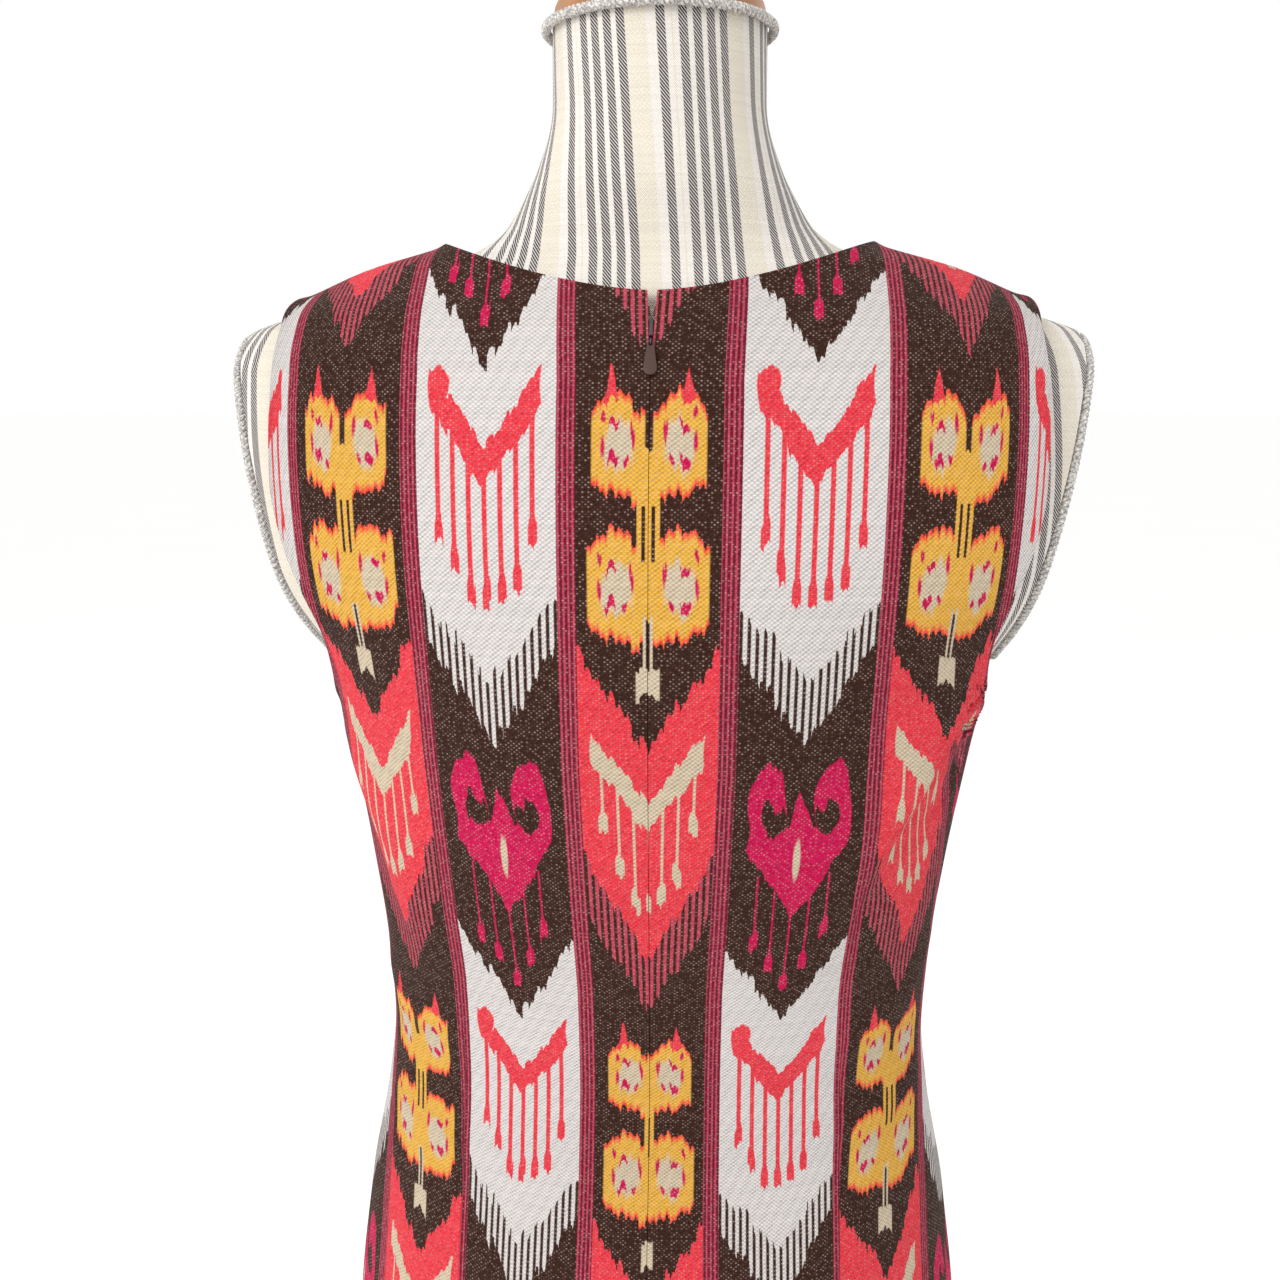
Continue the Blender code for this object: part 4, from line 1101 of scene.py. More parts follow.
def pale_column(finish, u, v, fray, dyes):
    """Brown cloth and pale Vs, with a coral chevron and bars over a pair of ram's horns.

    Plain numbers are millimetres from the column's middle (u) or down from the repeat's top (v).
    """
    frayed = v + fray * GROUND_FRAY
    lower = PALE_V_START - 1.75 * abs(u)
    comb = inside(0.95 - abs(u - (u / 3.5).nearest() * 3.5), 0.5)
    solid = inside(142.0 - 1.25 * abs(u) - frayed)
    combed = inside(172.0 - 1.6 * abs(u) - frayed) * comb
    pale = inside(frayed - lower).most(inside(frayed + PALE_V_LENGTH - lower) * solid.most(combed))
    colour = finish.mixed(pale, dyes.brown, dyes.pale)

    swayed = u + 0.9 * (v * 0.17).sine()
    coral = chevron(swayed, v + fray * 0.55, CORAL_CHEVRON)
    coral = coral.most(oval(u, v + fray * 0.3, CHEVRON_KNOB))
    bars = drips(finish, u, v, fray, CORAL_BARS)
    bars = bars * inside(v - 46.0 + CORAL_CHEVRON.slope * abs(u))
    colour = finish.mixed(coral.most(bars), colour, dyes.coral)

    # Each horn curls out, over and in to a hooked tip; the heart below them runs down to a point.
    wobble = v + fray * CURL_FRAY
    side = abs(swayed)
    horns = oval(side, wobble, HORN)
    hollow = oval(side, wobble, HORN_HOLLOW)
    hook = oval(side, wobble, HORN_HOOK)
    heart = inside(23.5 - side) * inside(264.0 - 1.75 * side - wobble) * inside(wobble - 213.0)
    flame = inside(wobble - 194.0 - 3.4 * side) * inside(230.0 - wobble)
    body = ((1.0 - hollow) * horns.most(heart)).most(hook).most(flame)
    runs = drips(finish, u, v, fray, HORN_RUNS)
    colour = finish.mixed(body.most(runs), colour, dyes.magenta)
    return finish.mixed(oval(u, wobble, SEED), colour, dyes.beige)


def brown_column(finish, u, v, fray, dyes):
    """Brown cloth with two pairs of yellow lobes on a stem, over a coral V with a beige chevron.

    Plain numbers are millimetres from the column's middle (u) or down from the repeat's top (v).
    """
    frayed = v + fray * GROUND_FRAY
    side = abs(u)
    wobble = v + fray * CURL_FRAY
    ragged = v + fray * LOBE_FRAY
    coral = inside(frayed + 1.57 * side - 172.0)
    solid = inside(292.0 - 2.2 * side - frayed)
    comb = inside(0.8 - abs(u - (u / 3.1).nearest() * 3.1), 0.5)
    fringe = inside(325.0 - 2.1 * side - frayed) * comb * coral
    colour = finish.mixed(fringe, dyes.brown, dyes.pink)
    colour = finish.mixed(coral * solid, colour, dyes.coral)
    beige = chevron(u + 0.7 * (v * 0.19).sine(), v + fray * 0.6, BEIGE_CHEVRON)
    bars = drips(finish, u, v, fray, BEIGE_BARS)
    bars = bars * inside(v - 208.0 + BEIGE_CHEVRON.slope * side)
    colour = finish.mixed(beige.most(bars), colour, dyes.beige)

    # Lobes: blocks that peak under their flames, ragged and dipped in orange, each with a spotted eye.
    for lobe in LOBES:
        off = side - lobe.out
        bend = LOBE_BEND * off * off
        from_top = ragged - lobe.down + lobe.half_height - bend - lobe.fall * abs(off - LOBE_PEAK)
        from_foot = lobe.down + lobe.half_height - bend - lobe.slant * off - ragged
        ends = from_top.least(from_foot)
        block = inside(lobe.half_width - abs(off), 0.8) * inside(ends)
        rim = inside(2.6 - ends, 3.2)
        colour = finish.mixed(block, colour, finish.mixed(rim, dyes.yellow, dyes.orange))
        eye = Oval(lobe.out, lobe.down + 2.0, lobe.half_width * 0.56, lobe.half_height * 0.47)
        colour = finish.mixed(oval(side, ragged, eye, 2.0), colour, dyes.beige)
        for spot in SPOTS:
            out = lobe.out + spot.out * lobe.half_width
            down = lobe.down + spot.down * lobe.half_height
            streak = spot._replace(out=out, down=down)
            colour = finish.mixed(oval(side, ragged, streak), colour, dyes.magenta)
    flame = inside(0.2 * (ragged - 1.0) - abs(side - 15.5)) * inside(17.0 - ragged)
    colour = finish.mixed(flame, colour, dyes.coral)
    stem = inside(4.6 - side) * inside(wobble - 38.0) * inside(112.0 - wobble)
    colour = finish.mixed(stem, colour, dyes.yellow)
    slit = inside(0.75 - abs(side - 1.9), 0.4) * inside(v - 62.0) * inside(86.0 - v)
    colour = finish.mixed(slit, colour, dyes.brown)
    threads = inside(0.6 - abs(side - 1.3), 0.4) * inside(v - 110.0) * inside(136.0 - v)
    tag = inside(4.9 - side) * inside(wobble - 134.0) * inside(144.5 + 0.9 * side - wobble)
    return finish.mixed(threads.most(tag), colour, dyes.beige)


def ikat_cloth():
    """Plain weave whose warp was dyed before weaving, so that every motif frays along the threads."""
    sizes = bpy.context.scene.dress_sizes
    dyes = bpy.context.scene.dress_colours
    warp, weft = sizes.warp_pitch * MM, sizes.weft_pitch * MM
    width, height = sizes.repeat_width * MM, sizes.repeat_height * MM
    finish = Finish("Warp ikat cloth", roughness=0.95, sheen=0.02, specular=0.15)
    across, down, dart_take = finish.split("cloth_place")
    from_dart, from_bust, bust_take = finish.split("cloth_darts")
    from_edge, from_seam, _ = finish.split("cloth_edges")
    u = across + dart_take * (from_dart > 0.0)
    v = down + bust_take * (from_bust > 0.0)

    # Each warp thread slipped a little in the dye bath, and so did each small bundle.
    thread = (u / warp).floor()
    bundle_at = u / (BUNDLE_THREADS * warp)
    bundle = bundle_at.floor()
    slipped = THREAD_SLIP * finish.chance(thread, 1.0) + BUNDLE_SLIP * finish.chance(bundle, 2.0)
    fray = slipped + BUNDLE_TOOTH * abs(bundle_at - bundle_at.nearest()) - SLIP_MIDDLE
    v_repeat = v - (v / height).floor() * height
    u_brown = u - (u / width).nearest() * width
    shifted = u - width / 2
    u_pale = shifted - (shifted / width).nearest() * width

    stripe = (u_brown * (2 * math.pi / PINSTRIPE_PITCH)).sine()
    band = finish.mixed(inside(stripe - 0.25, 0.5), dyes.maroon, dyes.pink)
    brown = brown_column(finish, u_brown, v_repeat, fray, dyes)
    pale = pale_column(finish, u_pale, v_repeat, fray, dyes)
    colour = finish.mixed(inside(BROWN_HALF_WIDTH - abs(u_brown), 0.3), band, brown)
    colour = finish.mixed(inside(PALE_HALF_WIDTH - abs(u_pale), 0.3), colour, pale)

    # The weft shows as a pinkish speck wherever it crosses over a warp thread, some more than others.
    row = (v / weft).floor()
    over = 0.5 + 0.5 * (u * (math.pi / warp)).sine() * (v * (math.pi / weft)).sine()
    crossing = finish.chance(thread, row)
    fleck = (1.3 * crossing - 0.30).clipped() * (0.9 - 2.2 * over).clipped()
    colour = finish.mixed(fleck, colour, finish.mixed(0.65, colour, dyes.weft))

    slub = finish.chance(row, 9.0)
    twill = ((v + 0.6 * u) * (2 * math.pi / 2.5)).sine()
    wear = finish.cloud(finish.object_place(), 9.0)
    # Painted shade: the tone darkens away from the warp's crests, standing in for the shade in the hollows
    # between the threads; slub, crossing and the cloud vary it at random.
    tone = 0.58 + 0.38 * over + 0.03 * twill + 0.08 * slub + 0.07 * crossing + 0.10 * (wear - 0.5)
    dart_groove_and_shade = inside(0.5 - abs(from_dart), 0.5) * (abs(dart_take) > DART_LEAST)
    pressed = inside(0.9 - abs(from_seam - SEAM_RIDGE), 1.2)
    turned_in = inside(1.4 - abs(from_edge - EDGE_RIDGE), 1.6)
    # Painted shade: the cloth darkens along the dart's seam line, where its groove lies; the same mask sinks
    # the groove in the relief.
    tone = tone * (1.0 - 0.25 * dart_groove_and_shade)
    relief = over + 0.35 * slub + 0.12 * twill - 0.8 * dart_groove_and_shade + 0.30 * pressed - 0.25 * turned_in
    finish.bumped(relief, sizes.thread_relief)
    return finish.coloured(finish.shaded(colour, tone), 0.98 - 0.08 * over)


def ticking(name):
    """Linen with single and grouped twill stripes and a cream dobby band between the groups."""
    colours = bpy.context.scene.form_colours
    finish = Finish(name, roughness=0.9, sheen=0.08)
    s, z, _ = finish.split("ticking_place")
    place = s - (s / TICKING_REPEAT).floor() * TICKING_REPEAT
    single = abs(place - SINGLE_STRIPE)
    group_index = ((place - STRIPE_GROUP) / STRIPE_PITCH).nearest().most(0.0).least(STRIPES_AFTER_FIRST)
    grouped = abs(place - STRIPE_GROUP - group_index * STRIPE_PITCH)
    stripe = inside(STRIPE_HALF_WIDTH - single.least(grouped), 0.5)
    twill = ((s + 0.8 * z) * (2 * math.pi / 1.4)).sine()
    band_at = s + BAND_MIDDLE
    from_band = abs(band_at - (band_at / TICKING_REPEAT).nearest() * TICKING_REPEAT)
    band = inside(BAND_HALF_WIDTH - from_band, 0.8)
    check = (s * (math.pi / 1.1)).sine() * (z * (math.pi / 1.1)).sine()
    line_at = place - YELLOW_LINE
    from_line = abs(line_at - (line_at / YELLOW_PITCH).nearest() * YELLOW_PITCH)
    yellow = inside(0.35 - from_line, 0.3)
    colour = finish.mixed(band * (0.45 + 0.30 * check), colours.linen, colours.band)
    colour = finish.mixed(yellow * 0.6, colour, colours.band)
    stripe_colour = finish.mixed(inside(twill - 0.25, 0.3) * 0.85, colours.stripe, colours.linen)
    colour = finish.mixed(stripe, colour, stripe_colour)
    weave = (s * (math.pi / 0.45)).sine() * (z * (math.pi / 0.5)).sine()
    age = finish.cloud(finish.object_place(), 14.0)
    slub = finish.chance((z / 0.9).floor(), 4.0)
    tone = 0.82 + 0.05 * weave + 0.06 * slub + 0.08 * (age - 0.5)
    finish.bumped(weave + 1.3 * stripe * twill + 0.6 * slub, 0.00012)
    return finish.coloured(finish.shaded(colour, tone), 0.93 - 0.05 * weave)


def cord_cotton():
    """Soft cotton strands with a grey thread among the white ones."""
    colours = bpy.context.scene.form_colours
    finish = Finish("Twisted cotton cord", roughness=0.85, sheen=0.1)
    place = finish.object_place()
    fibre = finish.cloud(place, 900.0, 2.0)
    tuft = finish.cloud(place, 120.0)
    colour = finish.mixed((2.6 * fibre - 0.95).clipped(), colours.cord_shade, colours.cord)
    finish.bumped(fibre, 0.0002)
    return finish.coloured(finish.shaded(colour, 0.9 + 0.2 * tuft), 0.78 + 0.14 * tuft)


def turned_wood():
    """Oiled wood with growth rings, pores and a softly polished face."""
    colours = bpy.context.scene.form_colours
    finish = Finish("Oiled turned wood", roughness=0.42)
    place = finish.object_place()
    grain_place = finish.node(
        "ShaderNodeMapping", {}, {"Vector": place, "Location": (0.9, 0.3, 0.0), "Scale": (1.0, 0.09, 1.0)}
    )
    figure = finish.cloud(grain_place, 16.0, 4.0)
    rings = finish.node(
        "ShaderNodeTexWave",
        {"wave_type": "RINGS", "rings_direction": "Y"},
        {"Vector": grain_place, "Scale": 26.0, "Distortion": 3.0, "Detail": 3.0, "Detail Scale": 1.4},
        output="Fac",
    )
    pores = finish.cloud(
        finish.node("ShaderNodeMapping", {}, {"Vector": place, "Scale": (1.0, 0.05, 1.0)}), 700.0, 2.0
    )
    colour = finish.mixed((0.40 + 0.25 * rings + 0.35 * figure).clipped(), colours.wood_dark, colours.wood)
    tone = 0.88 + 0.18 * pores
    finish.bumped(pores + 0.4 * rings, 0.00012)
    return finish.coloured(finish.shaded(colour, tone), 0.36 + 0.18 * pores)


def brushed_steel():
    """Steel tube brushed round, with faint smudges."""
    colours = bpy.context.scene.form_colours
    finish = Finish("Brushed steel", roughness=0.3, metallic=1.0)
    place = finish.object_place()
    brushed_place = finish.node("ShaderNodeMapping", {}, {"Vector": place, "Scale": (1.0, 1.0, 40.0)})
    lines = finish.cloud(brushed_place, 60.0, 2.0)
    smudge = finish.cloud(place, 22.0)
    finish.bumped(lines, 0.00004)
    colour = finish.shaded(colours.steel, 0.9 + 0.16 * lines)
    return finish.coloured(colour, 0.22 + 0.14 * lines + 0.10 * smudge)


def slider_metal():
    """Dark nickel, rubbed brighter on its raised places."""
    colours = bpy.context.scene.form_colours
    finish = Finish("Dark nickel", roughness=0.4, metallic=0.1)
    place = finish.object_place()
    grime = finish.cloud(place, 900.0)
    edge = finish.node("ShaderNodeNewGeometry", {}, {}, output="Pointiness")
    rubbed = ((edge - 0.5) * 4.0).clipped()
    colour = finish.mixed(rubbed * 0.3, colours.nickel, colours.steel)
    finish.bumped(grime, 0.00003)
    return finish.coloured(finish.shaded(colour, 0.8 + 0.35 * grime), 0.28 + 0.25 * grime)


def painted_tab():
    """Matt brown paint over metal, with fine speckle."""
    colours = bpy.context.scene.form_colours
    finish = Finish("Matt brown paint", roughness=0.5)
    place = finish.object_place()
    speckle = finish.cloud(place, 2600.0, 1.0)
    cloud = finish.cloud(place, 500.0)
    finish.bumped(speckle, 0.00002)
    return finish.coloured(finish.shaded(colours.pull, 0.85 + 0.3 * cloud), 0.42 + 0.2 * speckle)


def tape_weave():
    """Close-woven brown polyester tape."""
    colours = bpy.context.scene.form_colours
    finish = Finish("Woven zip tape", roughness=0.8)
    place = finish.object_place()
    parts = finish.node("ShaderNodeSeparateXYZ", {}, {0: place})
    across, up = parts.output("X") * MM, parts.output("Z") * MM
    rib = (across * (math.pi / 0.35)).sine() * (up * (math.pi / 0.30)).sine()
    finish.bumped(rib, 0.00008)
    return finish.coloured(finish.shaded(colours.tape, 0.9 + 0.15 * rib), 0.8 + 0.08 * rib)


# ------------------------------------------------------------------ settings


def colour_property(name, description, code):
    """A colour that the user can change, from its six-figure screen code."""
    return FloatVectorProperty(
        name=name, description=description, default=dye(code), size=3, min=0.0, max=1.0, subtype="COLOR"
    )


def length_property(name, description, default, least=0.0001):
    """A length that the user can change, in metres, down to the least that still makes cloth."""
    return FloatProperty(
        name=name, description=description, default=default, min=least, precision=5, unit="LENGTH"
    )


class DressSizes(bpy.types.PropertyGroup):
    """Sizes of the dress's cloth."""

    cloth_thickness: length_property("Cloth thickness", "Thickness of the cloth", 0.0016, least=0.001)
    crease_strength: FloatProperty(
        name="Crease strength", description="How far the creases stand out", default=1.0, subtype="FACTOR"
    )
    warp_pitch: length_property("Warp pitch", "Width of one warp thread", 0.00125)
    weft_pitch: length_property("Weft pitch", "Height of one weft thread", 0.00105)
    thread_relief: length_property("Thread relief", "Depth of the weave", 0.00060)
    repeat_width: length_property("Repeat width", "Width of the pattern's repeat", 0.137)
    repeat_height: length_property("Repeat height", "Height of the pattern's repeat", 0.330)


class DressColours(bpy.types.PropertyGroup):
    """Dyes of the dress's cloth."""

    brown: colour_property("Brown", "The dark ground of the cloth", "3a2016")
    pale: colour_property("Pale", "The pale ground of the cloth", "dad4d1")
    coral: colour_property("Coral", "Chevrons, bars and the coral ground", "e83c49")
    maroon: colour_property("Maroon", "The narrow bands", "6e1a30")
    pink: colour_property("Pink", "Pinstripes in the bands, and the fringes", "c24459")
    yellow: colour_property("Yellow", "The paired lobes", "e5ae46")
    orange: colour_property("Orange", "The lobes' dipped ends", "f2503a")
    beige: colour_property("Beige", "Eyes, chevrons and tags", "d0bfa4")
    magenta: colour_property("Magenta", "Ram's horns and spots", "cb0d50")
    weft: colour_property("Weft", "Specks of the weft", "dcc4b8")


class FormColours(bpy.types.PropertyGroup):
    """Colours of the dress form, its stand and the zip's metal."""

    linen: colour_property("Linen", "Ground of the form's cover", "f3ece4")
    stripe: colour_property("Stripe", "Twill stripes of the cover", "352b33")
    band: colour_property("Band", "Cream band of the cover", "e6dabb")
    cord: colour_property("Cord", "Cotton cord", "f0ece4")
    cord_shade: colour_property("Cord shade", "Grey thread in the cord", "8f8a88")
    wood: colour_property("Wood", "Light wood of base and cap", "b98353")
    wood_dark: colour_property("Dark wood", "Dark rings of the wood", "7d4f2c")
    steel: colour_property("Steel", "Pole and flange", "c9c8c6")
    nickel: colour_property("Nickel", "Zip slider", "171312")
    pull: colour_property("Pull", "Zip pull tab", "422821")
    tape: colour_property("Tape", "Zip tape", "54382f")


class StageSettings(bpy.types.PropertyGroup):
    """Floor, surroundings and lights."""

    floor: colour_property("Floor", "The pale floor", "fdfdfc")
    surroundings: FloatProperty(
        name="Surroundings", description="Brightness of the white surroundings", default=1.0
    )
    key_power: FloatProperty(
        name="Key light", description="Power of the large soft light", default=46.0, unit="POWER"
    )
    fill_power: FloatProperty(
        name="Fill light", description="Power of the soft light on the other side", default=8.0, unit="POWER"
    )


# ------------------------------------------------------------------ making the pieces


def sew_panel(name, points, outward, attributes, material):
    """One piece of the dress: a thin closed wall with rounded edges."""
    thickness = bpy.context.scene.dress_sizes.cloth_thickness
    mesh = cloth_wall(name, points, outward, thickness, attributes)
    panel = put_on(f"cloth_{name}", mesh, material, replaces=[name])
    bevel = panel.modifiers.new("Rounded edge", "BEVEL")
    bevel.width = thickness * 0.38
    bevel.segments = 3
    bevel.limit_method = "ANGLE"
    bevel.angle_limit = math.radians(60)
    bake_modifiers(panel)


class DRESS_OT_pad_form(bpy.types.Operator):
    """Make the linen-covered body of the dress form."""

    bl_idname = "dress.pad_form"
    bl_label = "Dress form body"

    def execute(self, context):
        heights = run_heights(FORM_BOTTOM, FORM_ROWS)
        turns = np.linspace(-math.pi / 2, 3 * math.pi / 2, FORM_SIDES + 1)
        points = form_points(*np.meshgrid(turns, heights))
        step = np.linalg.norm(np.diff(points[..., :2], axis=1), axis=-1)
        around = np.concatenate([np.zeros((len(heights), 1)), np.cumsum(step, axis=1)], axis=1)
        leaning = TICKING_LEAN * (heights - NECK_POINT)[:, None]
        from_back = around - around[:, FORM_SIDES // 2 : FORM_SIDES // 2 + 1] + leaning
        behind = np.arange(FORM_SIDES + 1) > FORM_SIDES // 2
        from_front = around - around[:, -1:] * behind + leaning
        bm = bmesh.new()
        rows = len(heights) - 1
        bmesh.ops.create_grid(bm, x_segments=FORM_SIDES, y_segments=rows, size=0.5)
        layer = bm.loops.layers.float_vector.new("ticking_place")
        for face in bm.faces:
            # The cover's front and back are cut apart, and each has its stripes centred.
            covering = from_front if abs(face.calc_center_median().x) > 0.25 else from_back
            for loop in face.loops:
                row, column = self.grid_place(loop.vert, rows)
                loop[layer] = (covering[row, column], heights[row], 0.0)
        for vert in bm.verts:
            vert.co = points[self.grid_place(vert, rows)]
        for hand in (1.0, -1.0):
            self.cut_arm(bm, hand)
        bmesh.ops.remove_doubles(bm, verts=bm.verts, dist=1e-6)
        bmesh.ops.holes_fill(bm, edges=[edge for edge in bm.edges if edge.is_boundary])
        mesh = finished_mesh(bm, "form_cover", sharp_angle=35.0)
        put_on("form_cover", mesh, ticking("Striped linen"), replaces=["form_torso"])
        return {"FINISHED"}

    def grid_place(self, vert, rows):
        """Row and column of a point of the flat grid."""
        return round((vert.co.y + 0.5) * rows), round((vert.co.x + 0.5) * FORM_SIDES)

    def cut_arm(self, bm, hand):
        """Flatten the arm end: an edge round it, and what lies beyond it drawn back to the cut."""
        place = arm_frame(hand)
        upper = [face for face in bm.faces if min(vert.co.z for vert in face.verts) > ARM_CUT_BOTTOM]
        near = [face for face in upper if hand * face.calc_center_median().x > 0.1]
        geom = near + list({edge for face in near for edge in face.edges})
        geom += list({vert for face in near for vert in face.verts})
        normal = place.to_3x3().col[2]
        bmesh.ops.bisect_plane(bm, geom=geom, dist=1e-6, plane_co=place.translation, plane_no=normal)
        for vert in bm.verts:
            if vert.co.z > ARM_CUT_BOTTOM and hand * vert.co.x > arm_cut_half_width(vert.co.z):
                vert.co.x = hand * arm_cut_half_width(vert.co.z)


class DRESS_OT_cover_arm_ends(bpy.types.Operator):
    """Make the oval plates at the form's arms and the cords sewn round them."""

    bl_idname = "dress.cover_arm_ends"
    bl_label = "Arm plates and cords"

    def execute(self, context):
        cotton = cord_cotton()
        linen = ticking("Striped linen plate")
        for name, hand in (("left", 1.0), ("right", -1.0)):
            place = arm_frame(hand)
            facing = place[1][0]
            cord_inset = CORD_RADIUS + ARM_CORD_MARGIN
            plate_inset = cord_inset + CORD_RADIUS + 2 * SEAM_GAP
            mesh = self.plate_mesh(place, facing, arm_outline(plate_inset))
            put_on(f"plate_{name}", mesh, linen, replaces=[f"arm_plate_{name}"])
            lift = SEAM_GAP + CORD_RADIUS
            path = [place @ Vector((facing * x, y, lift)) for x, y in arm_outline(cord_inset)]
            mesh = twisted_cord(f"cord_{name}", path, place.to_3x3().col[2])
            put_on(f"cord_{name}", mesh, cotton, replaces=[f"arm_cord_{name}"])
        neck_height = NECK_TOP - CORD_RADIUS
        turn = 2 * math.pi * np.arange(OUTLINE_POINTS) / OUTLINE_POINTS
        ring = form_points(turn, np.full_like(turn, neck_height))
        reach = CORD_RADIUS + 2 * SEAM_GAP
        ring[:, :2] += reach * np.stack([np.cos(turn), np.sin(turn)], axis=-1)
        mesh = twisted_cord("cord_neck", ring, (0.0, 0.0, 1.0))
        put_on("cord_neck", mesh, cotton, replaces=["neck_cord"])
        return {"FINISHED"}

    def plate_mesh(self, place, facing, outline):
        """A flat plate under its cover, with a softly rounded edge."""
        bm = bmesh.new()
        verts = [bm.verts.new((facing * x, y, SEAM_GAP)) for x, y in outline]
        foot = bm.faces.new(verts)
        made = bmesh.ops.extrude_face_region(bm, geom=[foot])
        top = [item for item in made["geom"] if isinstance(item, bmesh.types.BMVert)]
        bmesh.ops.translate(bm, vec=(0.0, 0.0, PLATE_THICKNESS), verts=top)
        rim = [edge for edge in bm.edges if all(vert in top for vert in edge.verts)]
        bmesh.ops.bevel(bm, geom=rim, offset=PLATE_BEVEL, segments=4, affect="EDGES", profile=0.5)
        bmesh.ops.triangulate(bm, faces=[face for face in bm.faces if len(face.verts) > 4])
        layer = bm.verts.layers.float_vector.new("ticking_place")
        for vert in bm.verts:
            vert[layer] = (vert.co.x, vert.co.y, 0.0)
        bm.transform(place)
        return finished_mesh(bm, "arm_plate", sharp_angle=60.0)


class DRESS_OT_sew_panels(bpy.types.Operator):
    """Sew the front and the two backs of the dress."""

    bl_idname = "dress.sew_panels"
    bl_label = "Dress front and backs"

    def execute(self, context):
        cloth = ikat_cloth()
        for name, hand in (("back_left", 1.0), ("back_right", -1.0)):
            sew_panel(name, *half_panel("back", hand), cloth)
        left_points, left_outward, left_cloth = half_panel("front", 1.0)
        right_points, right_outward, right_cloth = half_panel("front", -1.0)
        attributes = {
            key: np.concatenate([right_cloth[key][:, :0:-1], left_cloth[key]], axis=1) for key in left_cloth
        }
        points = np.concatenate([right_points[:, :0:-1], left_points], axis=1)
        outward = np.concatenate([right_outward[:, :0:-1], left_outward], axis=1)
        sew_panel("front", points, outward, attributes, cloth)
        return {"FINISHED"}


class DRESS_OT_fit_zip(bpy.types.Operator):
    """Fit the zip's tape, coils and slider behind the centre-back seam."""

    bl_idname = "dress.fit_zip"
    bl_label = "Zip"

    def execute(self, context):
        self.finish_tape()
        metal = slider_metal()
        place = seam_frame(SLIDER_HEIGHT)
        parts = []
        for width, depth, height, out, up in SLIDER_PLATES:
            bm = bmesh.new()
            bmesh.ops.create_cube(bm, size=1.0)
            bmesh.ops.scale(bm, vec=(width, depth, height), verts=bm.verts)
            bmesh.ops.bevel(
                bm, geom=bm.edges[:], offset=SLIDER_PLATE_ROUNDING, segments=3, affect="EDGES", profile=0.5
            )
            bm.transform(place @ Matrix.Translation((0.0, out, up)))
            parts.append(bm)
        parts.append(self.bail())
        mesh = joined("slider", parts)
        put_on("slider", mesh, metal, replaces=["zip_slider"])
        coils = [self.coil(hand) for hand in (1.0, -1.0)]
        put_on("zip_coils", joined("zip_coils", coils), tape_weave())
        return {"FINISHED"}

    def finish_tape(self):
        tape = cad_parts["zip_tape"]
        weave = tape_weave()
        for place in tape.material_slots:
            place.material = weave

    def bail(self):
        """A wire loop that arches out through the V and holds the pull."""
        ring = arc_points((PIVOT_PROUD, 0.0), BAIL_RING_RADIUS, -90.0, 90.0, 17)
        path = [(-TAPE_BEHIND, -BAIL_RING_RADIUS, 0.0), *ring, (-TAPE_BEHIND, BAIL_RING_RADIUS, 0.0)]
        place = seam_frame(PIVOT_HEIGHT)
        points = [place @ Vector((0.0, out, up)) for out, up, _ in path]
        return tube(points, (1.0, 0.0, 0.0), BAIL_WIRE_RADIUS, BAIL_SIDES)

    def coil(self, hand):
        """The zip's coil on one side above the slider, spreading with the V."""
        turns = round((TAPE_TOP - COIL_FROM) / COIL_PITCH)
        t = np.linspace(0.0, 1.0, turns * COIL_STEPS + 1)
        angle = 2 * math.pi * turns * t
        points = []
        for part, turn in zip(t, angle):
            place = seam_frame(COIL_FROM + (TAPE_TOP - COIL_FROM) * float(part))
            aside = COIL_APART[0] + (COIL_APART[1] - COIL_APART[0]) * part
            aside += COIL_RADIUS * math.cos(turn)
            out = COIL_RADIUS * math.sin(turn) - COIL_BEHIND
            points.append(place @ Vector((hand * aside, out, 0.0)))
        return tube(points, (0.0, 0.0, 1.0), COIL_WIRE, COIL_SIDES)


class DRESS_OT_hang_pull(bpy.types.Operator):
    """Hang the teardrop pull tab on the slider's bail."""

    bl_idname = "dress.hang_pull"
    bl_label = "Zip pull"

    def execute(self, context):
        end_centre = -PULL_LENGTH + PULL_END_RADIUS
        apart = -PULL_EYE_DROP - end_centre
        spread = math.degrees(math.asin((PULL_END_RADIUS - PULL_EYE_RADIUS) / apart))
        outline = arc_points((0.0, -PULL_EYE_DROP), PULL_EYE_RADIUS, spread, 180.0 - spread, 25)
        outline += arc_points((0.0, end_centre), PULL_END_RADIUS, 180.0 - spread, 360.0 + spread, 41)
        hole = arc_points((0.0, -PULL_HOLE_DROP), PULL_HOLE_RADIUS, 0.0, 360.0, 25)[:-1]
        curve = bpy.data.curves.new("pull", "CURVE")
        curve.dimensions = "2D"
        curve.fill_mode = "BOTH"
        curve.extrude = PULL_THICKNESS / 2 - PULL_BEVEL
        curve.bevel_depth = PULL_BEVEL
        curve.bevel_resolution = 3
        curve.offset = -PULL_BEVEL
        for points in (outline, hole):
            spline = curve.splines.new("POLY")
            spline.points.add(len(points) - 1)
            for target, point in zip(spline.points, points):
                target.co = (*point, 1.0)
            spline.use_cyclic_u = True
        holder = bpy.data.objects.new("pull", curve)
        context.scene.collection.objects.link(holder)
        graph = context.evaluated_depsgraph_get()
        mesh = bpy.data.meshes.new_from_object(holder.evaluated_get(graph))
        bpy.data.objects.remove(holder, do_unlink=True)
        bm = bmesh.new()
        bm.from_mesh(mesh)
        bmesh.ops.remove_doubles(bm, verts=bm.verts, dist=1e-6)
        hang = seam_frame(PIVOT_HEIGHT) @ Matrix.Translation((0.0, PIVOT_PROUD, 0.0))
        bm.transform(hang @ Matrix.Rotation(math.pi / 2, 4, "X"))
        mesh = finished_mesh(bm, "pull")
        put_on("pull_tab", mesh, painted_tab(), body="pull", replaces=["zip_pull"])
        return {"FINISHED"}


